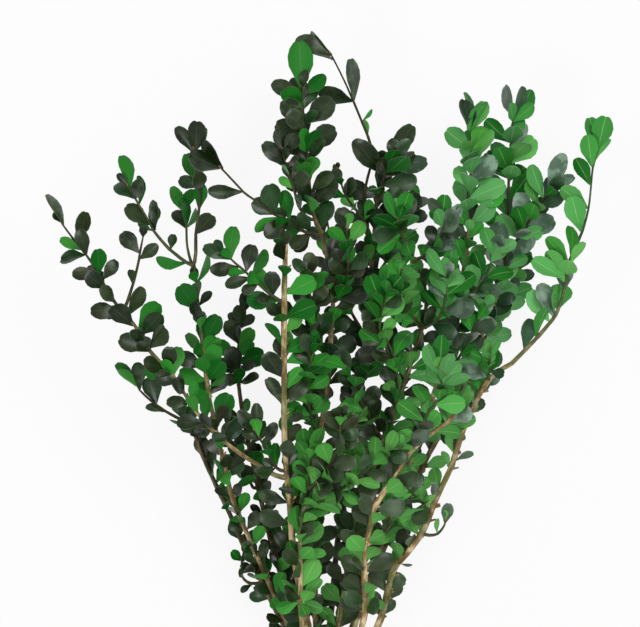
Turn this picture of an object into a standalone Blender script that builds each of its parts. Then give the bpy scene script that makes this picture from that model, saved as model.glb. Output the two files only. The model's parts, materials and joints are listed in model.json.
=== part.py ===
"""A bunch of preserved boxwood, lying down: woody stems held by a rubber band, and leafy shoots on them.

Metres in the scene, millimetres in the plan. +Y runs from the cut ends to the tips, +Z is up,
and the origin lies on the ground under the middle of the bunch.
"""

import math
import random

import bmesh
import bpy
import numpy as np
from mathutils import Matrix, Vector
from mathutils.bvhtree import BVHTree
from mathutils.geometry import intersect_ray_tri

MM = 0.001

# The bundle
STEM_RADIUS = 2.6
STEM_GAP = 0.35
TIE = (-3.0, -228.0)
TIE_WIDTH = 7.0
TIE_THICKNESS = 1.4
TIE_EDGE = 0.4
BUTT = -250.0
LEAFLESS = 45.0
STEM_SIDES = 6
TWIG_SIDES = 4
PITCH = 2 * STEM_RADIUS + STEM_GAP

# The twelve stems are packed in rows, each stem in the dip between two below it. In pitches:
ROW_RISE = math.sqrt(3) / 2
MIDDLE_RISE = 2 / math.sqrt(3)
FARTHEST_STEM = math.sqrt(7 / 3)
BUNDLE_RADIUS = FARTHEST_STEM * PITCH + STEM_RADIUS

# The shoots
SEAT_GAP = 0.3
TWIG_BASE = 1.25
TWIG_TIP = 0.65
NODE_HALF = 0.9
NODE_SPACING = 2.7
NODE_MARGIN = 1.3
LONGEST_STEP = 20.0
CORNER_REACH = (1.11, 1.05)

# The leaves
LEAF_WIDTH = 0.68
LEAF_THICKNESS = 0.55
LEAF_WIDEST = 0.6
LEAF_TIP_WIDTH = 0.5
LEAF_UNDERSIDE = 0.86
LEAF_MIDDLE = 0.56
LEAF_SEAT = 0.85
CLEARANCE = 0.9
STALK = [(0.02, 0.08), (0.16, 0.1)]
ROOM = [(0.4, 0.43), (0.65, 0.5), (0.9, 0.33), (1.0, 0.12)]
ROLLS = {"B": 14, "D": 14, "b": 52, "d": 52, "e": 80}
LEAN = 12
STEEPEST = 0.8
LEAST_OUT = 0.25
TOUCH = 1e-3
SEAT_STEP = 0.1
WOOD = -1

# What a place on the twig costs for a wanted leaf: too near counts less than too far, and a leaf
# that would point back along the twig counts most.
TOO_NEAR = 0.3
BACKWARD = 90.0
LEAST_FORWARD = 0.3

# The pairs: degrees off the twig and about it, and sizes and gaps as shares of what is asked for
PAIR_SPREAD = (42, 66)
PAIR_WANDER = 18
PAIR_SIZE = (0.82, 1.1)
PAIR_GAP = (0.85, 1.15)
PAIR_TAPER = 0.2

# Tried in turn when a leaf meets something: tilt and roll in degrees, and scale
TURNS = [(0, 0, 1), (14, 0, 1), (-14, 0, 1), (0, 22, 1), (0, -22, 1), (28, 0, 1), (-28, 0, 1),
         (14, 22, 0.9), (-14, -22, 0.9), (0, 0, 0.82), (42, 0, 0.9), (-42, 0, 0.9), (24, 0, 0.75),
         (-24, 0, 0.75)]

# Other ways for a leaf that would run through something: least lean out of its face, roll and scale
EASED = [(0.45, 0, 1), (0.45, 18, 1), (0.45, -18, 1), (0.65, 0, 1), (0.65, 28, 0.92), (0.65, -28, 0.92),
         (0.8, 0, 0.92), (0.8, 45, 0.85), (0.8, -45, 0.85), (0.92, 0, 0.8)]

THICK_TWIGS = {"left_rise": 1.8, "front_rise": 1.9, "right_arm": 1.5, "limb_tip": 1.5, "crown_mid": 1.5}

GREEN_DARK = (0.020, 0.035, 0.020, 1)
GREEN_BRIGHT = (0.030, 0.210, 0.040, 1)
BARK = (0.420, 0.290, 0.130, 1)
RUBBER = (0.450, 0.310, 0.160, 1)

# Each stem: its place in the bundle (column, row), its route above the band, its tip radius, its
# single leaves and the pairs that fill it, both as on the shoots below.
STEMS = {
    "stem_a": (
        (0, 2),
        [(-16, -150, 42), (-23, -110, 57), (-25, -80, 70), (-27, -60, 78), (-29, -24, 86), (-29, 10, 92),
         (-29, 66, 98), (-28, 104, 100)],
        1.9,
        [(-36, 5, 19, "d"), (-20, 3, 19, "D"), (-29, -2, 16, "B"), (-20, -16, 9, "D"), (-37, 23, 20, "D"),
         (-18, 26, 15, "B"), (-29, 38, 16, "B"), (-37, 43, 16, "b"), (-15, 75, 22, "B"),
         (-15, 58, 19, "B"), (-36, 60, 14, "D"), (-38, -73, 19, "D"), (-38, -88, 18, "D"),
         (-30, -103, 17, "D")],
        (17, 13, 0.1, 45, 115)),
    "stem_b": (
        (-1, 2),
        [(-34, -150, 30), (-55, -101, 42), (-66, -73, 50), (-71, -52, 55), (-76, -31, 58), (-82, -2, 61)],
        1.9,
        [(-64, -24, 26, "D"), (-71, -8, 20, "B"), (-84, -20, 16, "D"), (-63, -46, 16, "D"),
         (-78, -50, 16, "b"), (-54, -62, 14, "b"), (-80, -34, 15, "D")],
        (16, 12, 0.15, 50, 200)),
    "stem_c": (
        (-1.5, 1),
        [(-38, -150, 20), (-60, -105, 27), (-71, -80, 30), (-81, -59, 32), (-88, -43, 34), (-93, -29, 36)],
        1.4,
        [(-58, -109, 17, "b"), (-51, -122, 17, "b"), (-55, -132, 12, "D"), (-48, -140, 16, "D"),
         (-55, -154, 15, "D"), (-66, -96, 15, "D"), (-72, -72, 12, "b"), (-90, -38, 15, "D"),
         (-82, -46, 15, "D"), (-76, -66, 13, "b"), (-86, -28, 14, "D")],
        (16, 12, 0.2, 45, 150)),
    "stem_d": (
        (-0.5, 3),
        [(-13, -190, 36), (-17, -160, 48), (-18, -148, 53)],
        2.0,
        [],
        None),
    "stem_e": (
        (0.5, 3),
        [(20, -180, 40), (27, -157, 50), (27, -129, 63), (28, -105, 74), (31, -91, 80), (34, -77, 85),
         (41, -66, 89), (52, -49, 94), (60, -37, 98), (67, -30, 100), (76, -24, 101), (84, -18, 102),
         (90, -9, 103)],
        1.6,
        [(88, -4, 19, "D"), (95, -18, 18, "B"), (97, 3, 16, "b"), (104, 0, 13, "b"), (80, -10, 14, "D"),
         (28, -141, 17, "B"), (39, -119, 20, "D"), (18, -150, 15, "D"), (37, -101, 14, "B"),
         (24, -84, 15, "D"), (46, -80, 17, "D"), (18, -100, 15, "D"), (52, -58, 16, "B"),
         (18, -120, 17, "D"), (20, -134, 16, "D")],
        None),
    "stem_f": (
        (1, 2),
        [(26, -185, 30), (38, -162, 38), (43, -143, 45), (49, -121, 52), (57, -112, 55), (68, -96, 60),
         (77, -73, 66), (87, -52, 70), (94, -30, 74), (104, -6, 78), (113, 11, 81), (129, 22, 83)],
        1.9,
        [(51, -138, 17, "D"), (47, -149, 16, "D"), (38, -130, 16, "D"), (52, -111, 10, "b"),
         (60, -122, 8, "d"), (101, -46, 13, "d"), (90, -30, 16, "b"), (56, -90, 16, "D"),
         (54, -103, 15, "D"), (66, -71, 14, "B"), (34, -148, 16, "D"), (104, 12, 14, "D"),
         (84, -44, 10, "b"), (78, -40, 15, "D")],
        None),
    "stem_g": (
        (-0.5, 1),
        [(-7, -165, 21), (-9, -110, 36), (-7, -50, 56), (0, 0, 64), (4, 50, 70), (5, 73, 72), (3, 84, 73),
         (0, 101, 75), (-3, 113, 77)],
        1.5,
        [(-3, 124, 14, "D"), (6, 104, 18, "D")],
        (18, 17, 0.2, 60, 320)),
    "stem_k": (
        (0.5, 1),
        [(9, -165, 27), (18, -110, 40), (34, -50, 54), (52, 0, 64), (64, 36, 70), (70, 62, 74),
         (69, 76, 77), (60, 95, 81), (53, 111, 84)],
        1.2,
        [],
        (18, 17, 0.35, 70, 330)),
    "stem_r": (
        (1.5, 1),
        [(21, -165, 22), (38, -110, 34), (58, -50, 47), (76, 0, 56), (90, 50, 62), (97, 90, 66),
         (100, 114, 68)],
        1.5,
        [],
        (18, 19, 0.4, 130, 340)),
    "stem_s": (
        (1, 0),
        [(20, -165, 9), (42, -110, 16), (70, -50, 24), (96, 0, 28), (114, 50, 32), (126, 90, 36),
         (128, 110, 38)],
        1.5,
        [],
        (18, 20, 0.4, 190, 340)),
    "stem_w": (
        (0, 0),
        [(3, -165, 9), (8, -110, 16), (16, -50, 24), (24, 0, 28), (30, 60, 32), (34, 110, 36),
         (36, 138, 40)],
        1.5,
        [],
        (18, 20, 0.15, 130, 350)),
    "stem_l": (
        (-1, 0),
        [(-21, -165, 9), (-38, -110, 16), (-52, -50, 24), (-60, -10, 28), (-62, 6, 30)],
        1.5,
        [],
        (17, 13, 0.1, 50, 230)),
}

# The thick limb that leaves stem a to the left, and its radii
LIMB_RADII = (1.9, 1.5)
LIMB = [(-29, -58, 79), (-53, -45, 82), (-67, -35, 84), (-80, -23, 86), (-88, -14, 87), (-106, 14, 88)]

# Each shoot: what carries it, its route seen from above, the height of its tip, single leaves
# (middle x, middle y, length, side: B bright underside up, D dark upper side up, small letter
# when the leaf is turned, e on edge), and pairs that fill the rest (length, gap, bright share, and
# the distances along it between which they grow, where not all along).
SHOOTS = {
    "limb_tip": (
        "stem_a_limb",
        [(-106, 14), (-121, 29), (-134, 50), (-146, 63), (-156, 80), (-162, 91), (-172, 104), (-180, 114),
         (-184, 120)],
        82,
        [(-190, 132, 24, "d"), (-167, 117, 20, "d"), (-171, 108, 18, "D"), (-162, 93, 16, "B"),
         (-178, 106, 14, "d"), (-176, 95, 17, "e"), (-169, 83, 13, "D"), (-159, 82, 16, "D"),
         (-149, 87, 12, "D"), (-154, 58, 19, "D"), (-141, 57, 19, "D"), (-135, 36, 20, "D"),
         (-120, 56, 19, "B"), (-112, 54, 17, "D"), (-111, 31, 19, "B"), (-111, 42, 17, "D"),
         (-120, 22, 17, "D"), (-114, 18, 13, "d"), (-109, 1, 14, "D"), (-131, 66, 18, "D")],
        (16, 30, 0.2)),
    "left_reach": (
        "limb_tip",
        [(-142, 57), (-136, 72), (-131, 88), (-129, 100), (-127, 110)],
        92,
        [(-138, 104, 16, "D"), (-122, 99, 15, "D"), (-134, 83, 9, "D")],
        None),
    "left_rise": (
        "stem_b",
        [(-82, -2), (-85, 20), (-88, 48), (-91, 80), (-92, 93)],
        70,
        [(-86, 89, 19, "b"), (-94, 71, 20, "B"), (-80, 47, 20, "B"), (-93, 35, 16, "b"),
         (-80, 27, 16, "B"), (-97, 11, 15, "B"), (-88, 7, 14, "B"), (-85, -2, 17, "B"), (-76, 9, 13, "b"),
         (-96, 22, 16, "D"), (-77, 18, 16, "D")],
        (15, 15, 0.3)),
    "left_high": (
        "left_rise",
        [(-92, 90), (-98, 93), (-107, 100), (-116, 108), (-123, 120), (-130, 132), (-138, 146)],
        80,
        [(-141, 161, 20, "b"), (-134, 161, 20, "d"), (-131, 144, 18, "b"), (-132, 126, 20, "D"),
         (-119, 127, 21, "d"), (-107, 107, 9, "D"), (-109, 97, 20, "b"), (-126, 119, 11, "b")],
        None),
    "left_fan_a": (
        "left_rise",
        [(-92, 84), (-97, 102), (-98, 118), (-99, 130)],
        62,
        [(-102, 139, 17, "B"), (-99, 128, 18, "b"), (-94, 124, 14, "b")],
        None),
    "left_fan_b": (
        "left_rise",
        [(-92, 93), (-91, 112), (-89, 126), (-88, 147), (-90, 160), (-92, 171)],
        88,
        [(-98, 181, 17, "D"), (-95, 159, 22, "b"), (-85, 163, 19, "b"), (-88, 139, 17, "B"),
         (-96, 147, 12, "D"), (-87, 186, 19, "D"), (-84, 176, 18, "D"), (-84, 120, 17, "D"),
         (-98, 187, 14, "d")],
        None),
    "arch_left": (
        "stem_g",
        [(-3, 112), (-15, 114), (-25, 121), (-41, 129), (-48, 135), (-57, 141), (-62, 147), (-68, 153),
         (-73, 158)],
        96,
        [(-72, 141, 24, "D"), (-80, 177, 22, "d"), (-75, 174, 22, "b"), (-44, 131, 16, "D"),
         (-36, 137, 20, "D"), (-27, 133, 20, "B"), (-34, 114, 20, "D"), (-27, 109, 17, "b"),
         (-18, 108, 14, "D")],
        (15, 12, 0.2, 0, 30)),
    "crown_mid": (
        "stem_g",
        [(-3, 113), (-8, 124), (-12, 150), (-14, 178), (-16, 199), (-17, 214)],
        92,
        [(-18, 232, 29, "B"), (-29, 207, 20, "D"), (-24, 198, 22, "D"), (-3, 196, 20, "D"),
         (-25, 184, 15, "D"), (-16, 179, 17, "b"), (-10, 177, 16, "b"), (-14, 158, 18, "B"),
         (-1, 140, 20, "D"), (-6, 212, 14, "B"), (-2, 178, 18, "D"), (-20, 146, 16, "D")],
        (18, 12, 0.2)),
    "crown_side": (
        "crown_mid",
        [(-8, 119), (-18, 130), (-23, 146), (-28, 160), (-30, 170)],
        100,
        [(-38, 167, 22, "D"), (-27, 158, 15, "d"), (-32, 181, 13, "D"), (-22, 172, 13, "D")],
        (15, 12, 0.1)),
    "crown_dark": (
        "stem_w",
        [(36, 138), (39, 148), (43, 158), (46, 166)],
        62,
        [(25, 165, 27, "D"), (41, 161, 23, "D"), (60, 156, 21, "D"), (57, 180, 23, "D"),
         (49, 174, 16, "D"), (24, 140, 17, "D"), (52, 148, 17, "D"), (63, 166, 12, "d")],
        (18, 14, 0.1)),
    "crown_arch": (
        "stem_w",
        [(35, 122), (28, 136), (30, 156), (33, 170), (30, 180), (25, 192), (19, 206), (13, 219), (8, 229),
         (3, 238)],
        84,
        [(-6, 244, 17, "D"), (-2, 240, 15, "d"), (2, 247, 13, "d"), (19, 220, 24, "e"), (8, 207, 20, "d"),
         (28, 186, 8, "b"), (29, 195, 6, "b")],
        None),
    "mid_left": (
        "stem_a",
        [(-29, 64), (-38, 70), (-45, 76), (-57, 87), (-66, 95), (-70, 100)],
        106,
        [(-60, 106, 21, "D"), (-77, 97, 18, "D"), (-70, 86, 18, "D"), (-51, 95, 15, "D"),
         (-45, 94, 17, "b"), (-60, 78, 16, "D"), (-45, 80, 16, "B"), (-36, 79, 16, "D"),
         (-45, 66, 20, "D"), (-55, 71, 9, "D"), (-34, 88, 10, "d")],
        (15, 14, 0.2)),
    "under_limb": (
        "stem_a",
        [(-28, -54), (-35, -50), (-41, -38), (-50, -24)],
        92,
        [(-56, -18, 18, "D"), (-45, -15, 16, "D"), (-37, -28, 15, "D"), (-40, -47, 9, "D")],
        (14, 12, 0.1)),
    "back_left": (
        "stem_l",
        [(-62, 6), (-63, 22), (-62, 40), (-60, 58)],
        10,
        [(-62, 55, 14, "D"), (-67, 44, 16, "D"), (-57, 39, 16, "D"), (-66, 24, 18, "D"),
         (-73, 30, 18, "D"), (-51, 24, 15, "B"), (-58, 4, 20, "D"), (-68, 8, 15, "D"), (-56, 66, 14, "D"),
         (-48, 36, 11, "D")],
        (16, 14, 0.15)),
    "left_low": (
        "stem_c",
        [(-93, -29), (-100, -20), (-108, -16), (-117, -10), (-130, 0), (-136, 10)],
        40,
        [(-146, 16, 14, "d"), (-139, 14, 17, "B"), (-131, 13, 17, "D"), (-122, 3, 18, "D"),
         (-123, -8, 16, "d"), (-104, -10, 16, "D"), (-107, -20, 12, "b"), (-98, -24, 14, "D"),
         (-88, -30, 15, "D")],
        None),
    "front_rise": (
        "stem_d",
        [(-18, -148), (-18, -125), (-18, -100), (-16, -78), (-12, -58), (-11, -40)],
        96,
        [(-16, -32, 21, "B"), (-2, -27, 18, "B"), (-5, -42, 18, "B"), (-15, -60, 14, "B"),
         (-13, -71, 15, "B"), (-21, -85, 19, "b"), (-9, -97, 20, "B"), (-22, -110, 16, "b"),
         (-2, -112, 13, "b"), (-12, -124, 20, "B"), (-25, -137, 15, "b"), (-29, -154, 12, "B"),
         (-15, -155, 14, "B"), (-4, -154, 14, "B"), (-3, -82, 15, "b")],
        (16, 15, 0.5)),
    "twig_to_e": (
        "front_rise",
        [(-13, -78), (-1, -73), (13, -63), (27, -52), (40, -41), (48, -35)],
        108,
        [(14, -61, 16, "B"), (16, -71, 12, "b"), (1, -80, 19, "b"), (32, -37, 17, "B"),
         (21, -41, 18, "b"), (52, -29, 17, "B"), (44, -31, 17, "b"), (54, -38, 16, "b")],
        (16, 12, 0.3)),
    "e_high": (
        "stem_e",
        [(66, -31), (68, -17), (71, -10), (77, -3), (80, 7), (77, 17)],
        116,
        [(85, 38, 25, "B"), (74, 29, 22, "b"), (86, 20, 22, "b"), (66, 4, 25, "B"), (54, 5, 18, "b"),
         (73, -17, 16, "B"), (55, -11, 18, "B"), (78, -24, 12, "b"), (88, 14, 18, "D")],
        (17, 12, 0.5)),
    "f_twiglet": (
        "stem_f",
        [(69, -99), (75, -99), (82, -94), (84, -88)],
        66,
        [(84, -83, 13, "D"), (77, -92, 9, "d")],
        None),
    "f_inner": (
        "stem_f",
        [(72, -82), (66, -74), (60, -68), (54, -62)],
        84,
        [(57, -72, 18, "D"), (66, -72, 14, "B"), (46, -80, 17, "D"), (59, -88, 17, "D"),
         (69, -59, 10, "D"), (54, -55, 16, "B"), (67, -82, 10, "b"), (62, -96, 15, "D")],
        (16, 10, 0.2)),
    "f_end": (
        "stem_f",
        [(111, 8), (114, 18), (113, 26)],
        96,
        [(113, 30, 15, "d"), (106, 38, 22, "b"), (100, 24, 12, "B"), (118, 22, 10, "b"),
         (104, 14, 13, "D"), (122, 34, 12, "d")],
        (14, 9, 0.2)),
    "right_arm": (
        "stem_f",
        [(129, 22), (140, 33), (153, 47), (160, 56), (166, 73), (169, 91), (178, 112), (184, 134),
         (186, 157), (191, 174)],
        74,
        [(182, 186, 16, "D"), (192, 185, 18, "D"), (183, 171, 21, "B"), (195, 170, 14, "b"),
         (174, 127, 24, "B"), (171, 108, 18, "b"), (177, 102, 22, "b"), (152, 87, 25, "B"),
         (141, 66, 20, "B"), (150, 53, 22, "b"), (163, 66, 18, "b"), (140, 42, 18, "D"),
         (156, 74, 14, "D")],
        None),
    "whorl": (
        "stem_k",
        [(53, 111), (51, 117), (50, 122)],
        96,
        [(43, 134, 19, "b"), (57, 132, 21, "B"), (39, 120, 21, "b"), (59, 111, 20, "b"),
         (67, 134, 16, "D"), (69, 117, 20, "D"), (47, 103, 16, "D"), (36, 105, 18, "D")],
        (17, 7, 0.2)),
    "k_low": (
        "stem_k",
        [(66, 46), (78, 53), (83, 68), (84, 84)],
        96,
        [(71, 91, 22, "B"), (87, 93, 24, "B"), (97, 77, 26, "B"), (84, 62, 22, "B"), (78, 80, 16, "D"),
         (74, 66, 16, "b"), (60, 60, 18, "D"), (94, 60, 18, "D")],
        (18, 12, 0.6)),
    "k_left": (
        "stem_k",
        [(56, 12), (46, 26), (38, 42), (38, 58), (42, 72)],
        110,
        [(31, 74, 24, "B"), (38, 63, 24, "B"), (47, 62, 20, "B"), (29, 62, 21, "b"), (40, 84, 20, "B"),
         (50, 79, 17, "B"), (31, 40, 20, "B"), (46, 22, 20, "b"), (56, 38, 18, "B"), (26, 24, 18, "D")],
        (18, 12, 0.5)),
    "k_right": (
        "stem_k",
        [(60, 93), (70, 98), (78, 108), (81, 112), (80, 124)],
        92,
        [(83, 134, 13, "B"), (75, 130, 16, "D"), (90, 122, 14, "D"), (70, 107, 16, "D")],
        (16, 14, 0.3)),
    "right_a": (
        "stem_r",
        [(100, 114), (99, 136), (101, 157), (100, 186)],
        88,
        [(99, 203, 22, "B"), (96, 193, 19, "e"), (111, 197, 16, "d"), (117, 196, 20, "e"),
         (101, 171, 27, "B"), (113, 171, 21, "b"), (113, 140, 24, "B"), (125, 136, 22, "B"),
         (107, 152, 16, "B"), (95, 140, 14, "e"), (107, 184, 18, "B")],
        (18, 13, 0.5)),
    "right_b": (
        "stem_s",
        [(128, 110), (129, 136), (129, 157), (130, 178), (132, 196)],
        64,
        [(119, 211, 24, "B"), (126, 204, 20, "d"), (134, 210, 14, "d"), (142, 205, 19, "B"),
         (147, 200, 17, "B"), (129, 218, 15, "d"), (128, 189, 20, "B"), (138, 170, 19, "B"),
         (144, 167, 16, "b"), (121, 183, 18, "B"), (121, 160, 18, "B")],
        (18, 13, 0.6)),
    "right_c": (
        "stem_s",
        [(121, 78), (132, 104), (143, 122), (150, 134), (157, 143)],
        66,
        [(161, 162, 24, "D"), (168, 160, 20, "D"), (150, 164, 20, "D"), (141, 150, 18, "B"),
         (150, 151, 18, "B"), (165, 147, 16, "d"), (175, 142, 16, "d"), (174, 157, 13, "d"),
         (137, 130, 22, "D"), (150, 118, 20, "D"), (128, 118, 14, "b")],
        (18, 11, 0.1)),
}

# Plainer shoots that make up the depth of the bunch.
FILL_SHOOTS = {
    "front_a": ("front_rise", [(-14, -66), (0, -52), (8, -34), (10, -14)], 126, (18, 11, 0.45)),
    "front_b": ("stem_k", [(66, 46), (58, 58), (50, 74), (52, 88)], 118, (18, 11, 0.6)),
    "heart_a": ("stem_g", [(1, 20), (-6, 40), (-10, 60), (-12, 84)], 92, (19, 11, 0.35)),
    "heart_b": ("stem_g", [(4, 62), (12, 76), (16, 96), (14, 116)], 104, (19, 11, 0.25)),
    "heart_c": ("stem_g", [(-4, -30), (-12, -8), (-12, 14), (-8, 34)], 98, (19, 11, 0.45)),
    "heart_d": ("stem_w", [(29, 40), (18, 58), (8, 80), (4, 104), (0, 128)], 50, (20, 11, 0.15)),
    "heart_e": ("stem_w", [(31, 78), (44, 96), (52, 116), (60, 134)], 9, (20, 11, 0.1)),
    "heart_f": ("stem_k", [(40, -32), (30, -16), (22, 2), (14, 20)], 98, (19, 11, 0.4)),
    "heart_g": ("stem_k", [(46, -15), (50, 6), (48, 24), (42, 40)], 88, (19, 11, 0.4)),
    "heart_h": ("stem_w", [(34, 108), (26, 124), (14, 140), (8, 158)], 62, (20, 11, 0.1)),
    "right_d": ("stem_r", [(88, 44), (98, 64), (112, 84), (118, 104)], 84, (20, 11, 0.4)),
    "right_e": ("stem_r", [(78, 8), (92, 24), (102, 44), (110, 62)], 78, (20, 11, 0.6)),
    "right_f": ("stem_s", [(108, 34), (122, 52), (132, 74), (140, 92)], 9, (20, 11, 0.3)),
    "right_g": ("stem_s", [(84, -24), (98, -12), (112, 8), (120, 28)], 9, (19, 11, 0.3)),
    "low_a": ("stem_l", [(-47, -74), (-56, -60), (-62, -44), (-66, -26)], 30, (18, 10, 0.1)),
    "low_g": ("stem_r", [(30, -136), (44, -124), (52, -106), (60, -90)], 24, (17, 10, 0.2)),
    "low_h": ("stem_c", [(-46, -136), (-58, -134), (-60, -122), (-58, -110)], 34, (15, 10, 0.4)),
}


class Axis:
    """A smooth centre line through a few points, asked for by the distance along it."""

    def __init__(self, knots):
        knots = [Vector(knot) for knot in knots]
        spans = [(b - a).length for a, b in zip(knots, knots[1:])]
        runs = [(b - a) / span for a, b, span in zip(knots, knots[1:], spans)]
        middle = [(ahead * near + behind * far) / (near + far)
                  for behind, ahead, near, far in zip(runs, runs[1:], spans, spans[1:])]
        slopes = [runs[0], *middle, runs[-1]]
        self.points = []
        for start, end, leaving, arriving, span in zip(knots, knots[1:], slopes, slopes[1:], spans):
            steps = max(2, round(span / 3))
            for t in (step / steps for step in range(steps)):
                self.points.append((2 * t ** 3 - 3 * t * t + 1) * start + (3 * t * t - 2 * t ** 3) * end
                                   + span * (t ** 3 - 2 * t * t + t) * leaving
                                   + span * (t ** 3 - t * t) * arriving)
        self.points.append(knots[-1])
        self.marks = [0.0]
        for start, end in zip(self.points, self.points[1:]):
            self.marks.append(self.marks[-1] + (end - start).length)
        self.length = self.marks[-1]

    def at(self, distance):
        distance = min(max(distance, 0.0), self.length)
        index = max(1, int(np.searchsorted(self.marks, distance)))
        index = min(index, len(self.marks) - 1)
        share = (distance - self.marks[index - 1]) / (self.marks[index] - self.marks[index - 1])
        return self.points[index - 1].lerp(self.points[index], share)

    def heading(self, distance):
        return (self.at(distance + 2) - self.at(distance - 2)).normalized()

    def nearest(self, x, y):
        """The distance along the line that lies closest, seen from above."""
        marks = np.linspace(0, self.length, max(2, int(self.length))).tolist()
        return min(marks, key=lambda mark: (self.at(mark).xy - Vector((x, y))).length)


class Rod:
    """A tapering woody piece: its axis and its radii."""

    def __init__(self, axis, thick, thin):
        self.axis, self.thick, self.thin = axis, thick, thin

    def radius(self, distance):
        return self.thick + (self.thin - self.thick) * min(max(distance / self.axis.length, 0), 1)

    def shell(self, margin, start=0.0, end=None, sides=6):
        """Points and faces of a closed tube round the rod."""
        end = self.axis.length if end is None else end
        count = max(2, round((end - start) / 6) + 1)
        points, faces = [], []
        for mark in np.linspace(start, end, count).tolist():
            centre, along = self.axis.at(mark), self.axis.heading(mark)
            side, under = across(along)
            reach = self.radius(mark) + margin
            for corner in range(sides):
                angle = 2 * math.pi * (corner - 0.5) / sides
                points.append(centre + reach * (math.cos(angle) * side + math.sin(angle) * under))
        for ring in range(count - 1):
            for corner in range(sides):
                a, b = ring * sides + corner, ring * sides + (corner + 1) % sides
                faces.append((a, b, b + sides, a + sides))
        faces.append(tuple(range(sides))[::-1])
        faces.append(tuple(range((count - 1) * sides, count * sides)))
        return points, faces


class Space:
    """What is already placed, so that nothing new runs through it."""

    def __init__(self):
        self.low, self.high, self.trees, self.owners = [], [], [], []

    def add(self, owner, points, faces):
        self.low.append(np.min([tuple(p) for p in points], axis=0))
        self.high.append(np.max([tuple(p) for p in points], axis=0))
        self.trees.append(BVHTree.FromPolygons(points, faces))
        self.owners.append(owner)

    def blocked(self, points, faces, counts=lambda owner: True):
        """The owner of the first thing that the shape meets, among those that count, or None."""
        low = np.min([tuple(p) for p in points], axis=0)
        high = np.max([tuple(p) for p in points], axis=0)
        apart = (np.reshape(self.low, (-1, 3)) > high) | (np.reshape(self.high, (-1, 3)) < low)
        near = np.nonzero(~apart.any(axis=1))[0].tolist()
        tree = None
        for index in near:
            if not counts(self.owners[index]):
                continue
            tree = tree or BVHTree.FromPolygons(points, faces)
            if tree.overlap(self.trees[index]):
                return self.owners[index]
        return None


def across(along):
    """Two directions square to a run: one level, and one that makes a right-handed set with it."""
    side = along.cross(Vector((0, 0, 1))).normalized()
    return side, along.cross(side)


class Leaf:
    """Where a leaf starts, where it points, which way its upper side faces, and its size."""

    def __init__(self, mark, base, along, normal, length, width, shows):
        self.mark, self.base, self.along = mark, base, along
        self.normal = (normal - normal.dot(along) * along).normalized()
        self.length, self.width, self.shows = length, width, shows

    def point(self, share, sideways, lift):
        wide = self.normal.cross(self.along)
        return (self.base + share * self.length * self.along + sideways * self.width * wide
                + lift * self.normal)

    def slab(self, outline):
        """Points and faces of the room that the leaf, or a part of its length, takes."""
        rim = outline + [(share, -half) for share, half in reversed(outline)]
        points = [self.point(*corner, lift) for lift in (-CLEARANCE, CLEARANCE) for corner in rim]
        count = len(rim)
        faces = [tuple(range(count)), tuple(range(2 * count - 1, count - 1, -1))]
        faces += [(i, (i + 1) % count, count + (i + 1) % count, count + i) for i in range(count)]
        return points, faces

    def turned(self, tilt, roll, scale):
        """The same leaf raised or lowered, turned about its length, and scaled."""
        wide = Vector((0, 0, 1)).cross(self.along)
        wide = wide.normalized() if wide.length > 0.01 else Vector((1, 0, 0))
        lift = Matrix.Rotation(math.radians(-tilt), 3, wide)
        along, normal = lift @ self.along, lift @ self.normal
        normal = Matrix.Rotation(math.radians(roll), 3, along) @ normal
        return Leaf(self.mark, self.base, along, normal, self.length * scale, self.width * scale, self.shows)

    def leaning_out(self, direction, least=LEAST_OUT):
        """The same leaf, leaning out of the face of the twig that it grows from."""
        short = least - self.along.dot(direction)
        if short <= 0:
            return self
        along = (self.along + short * direction).normalized()
        return Leaf(self.mark, self.base, along, self.normal, self.length, self.width, self.shows)


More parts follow.
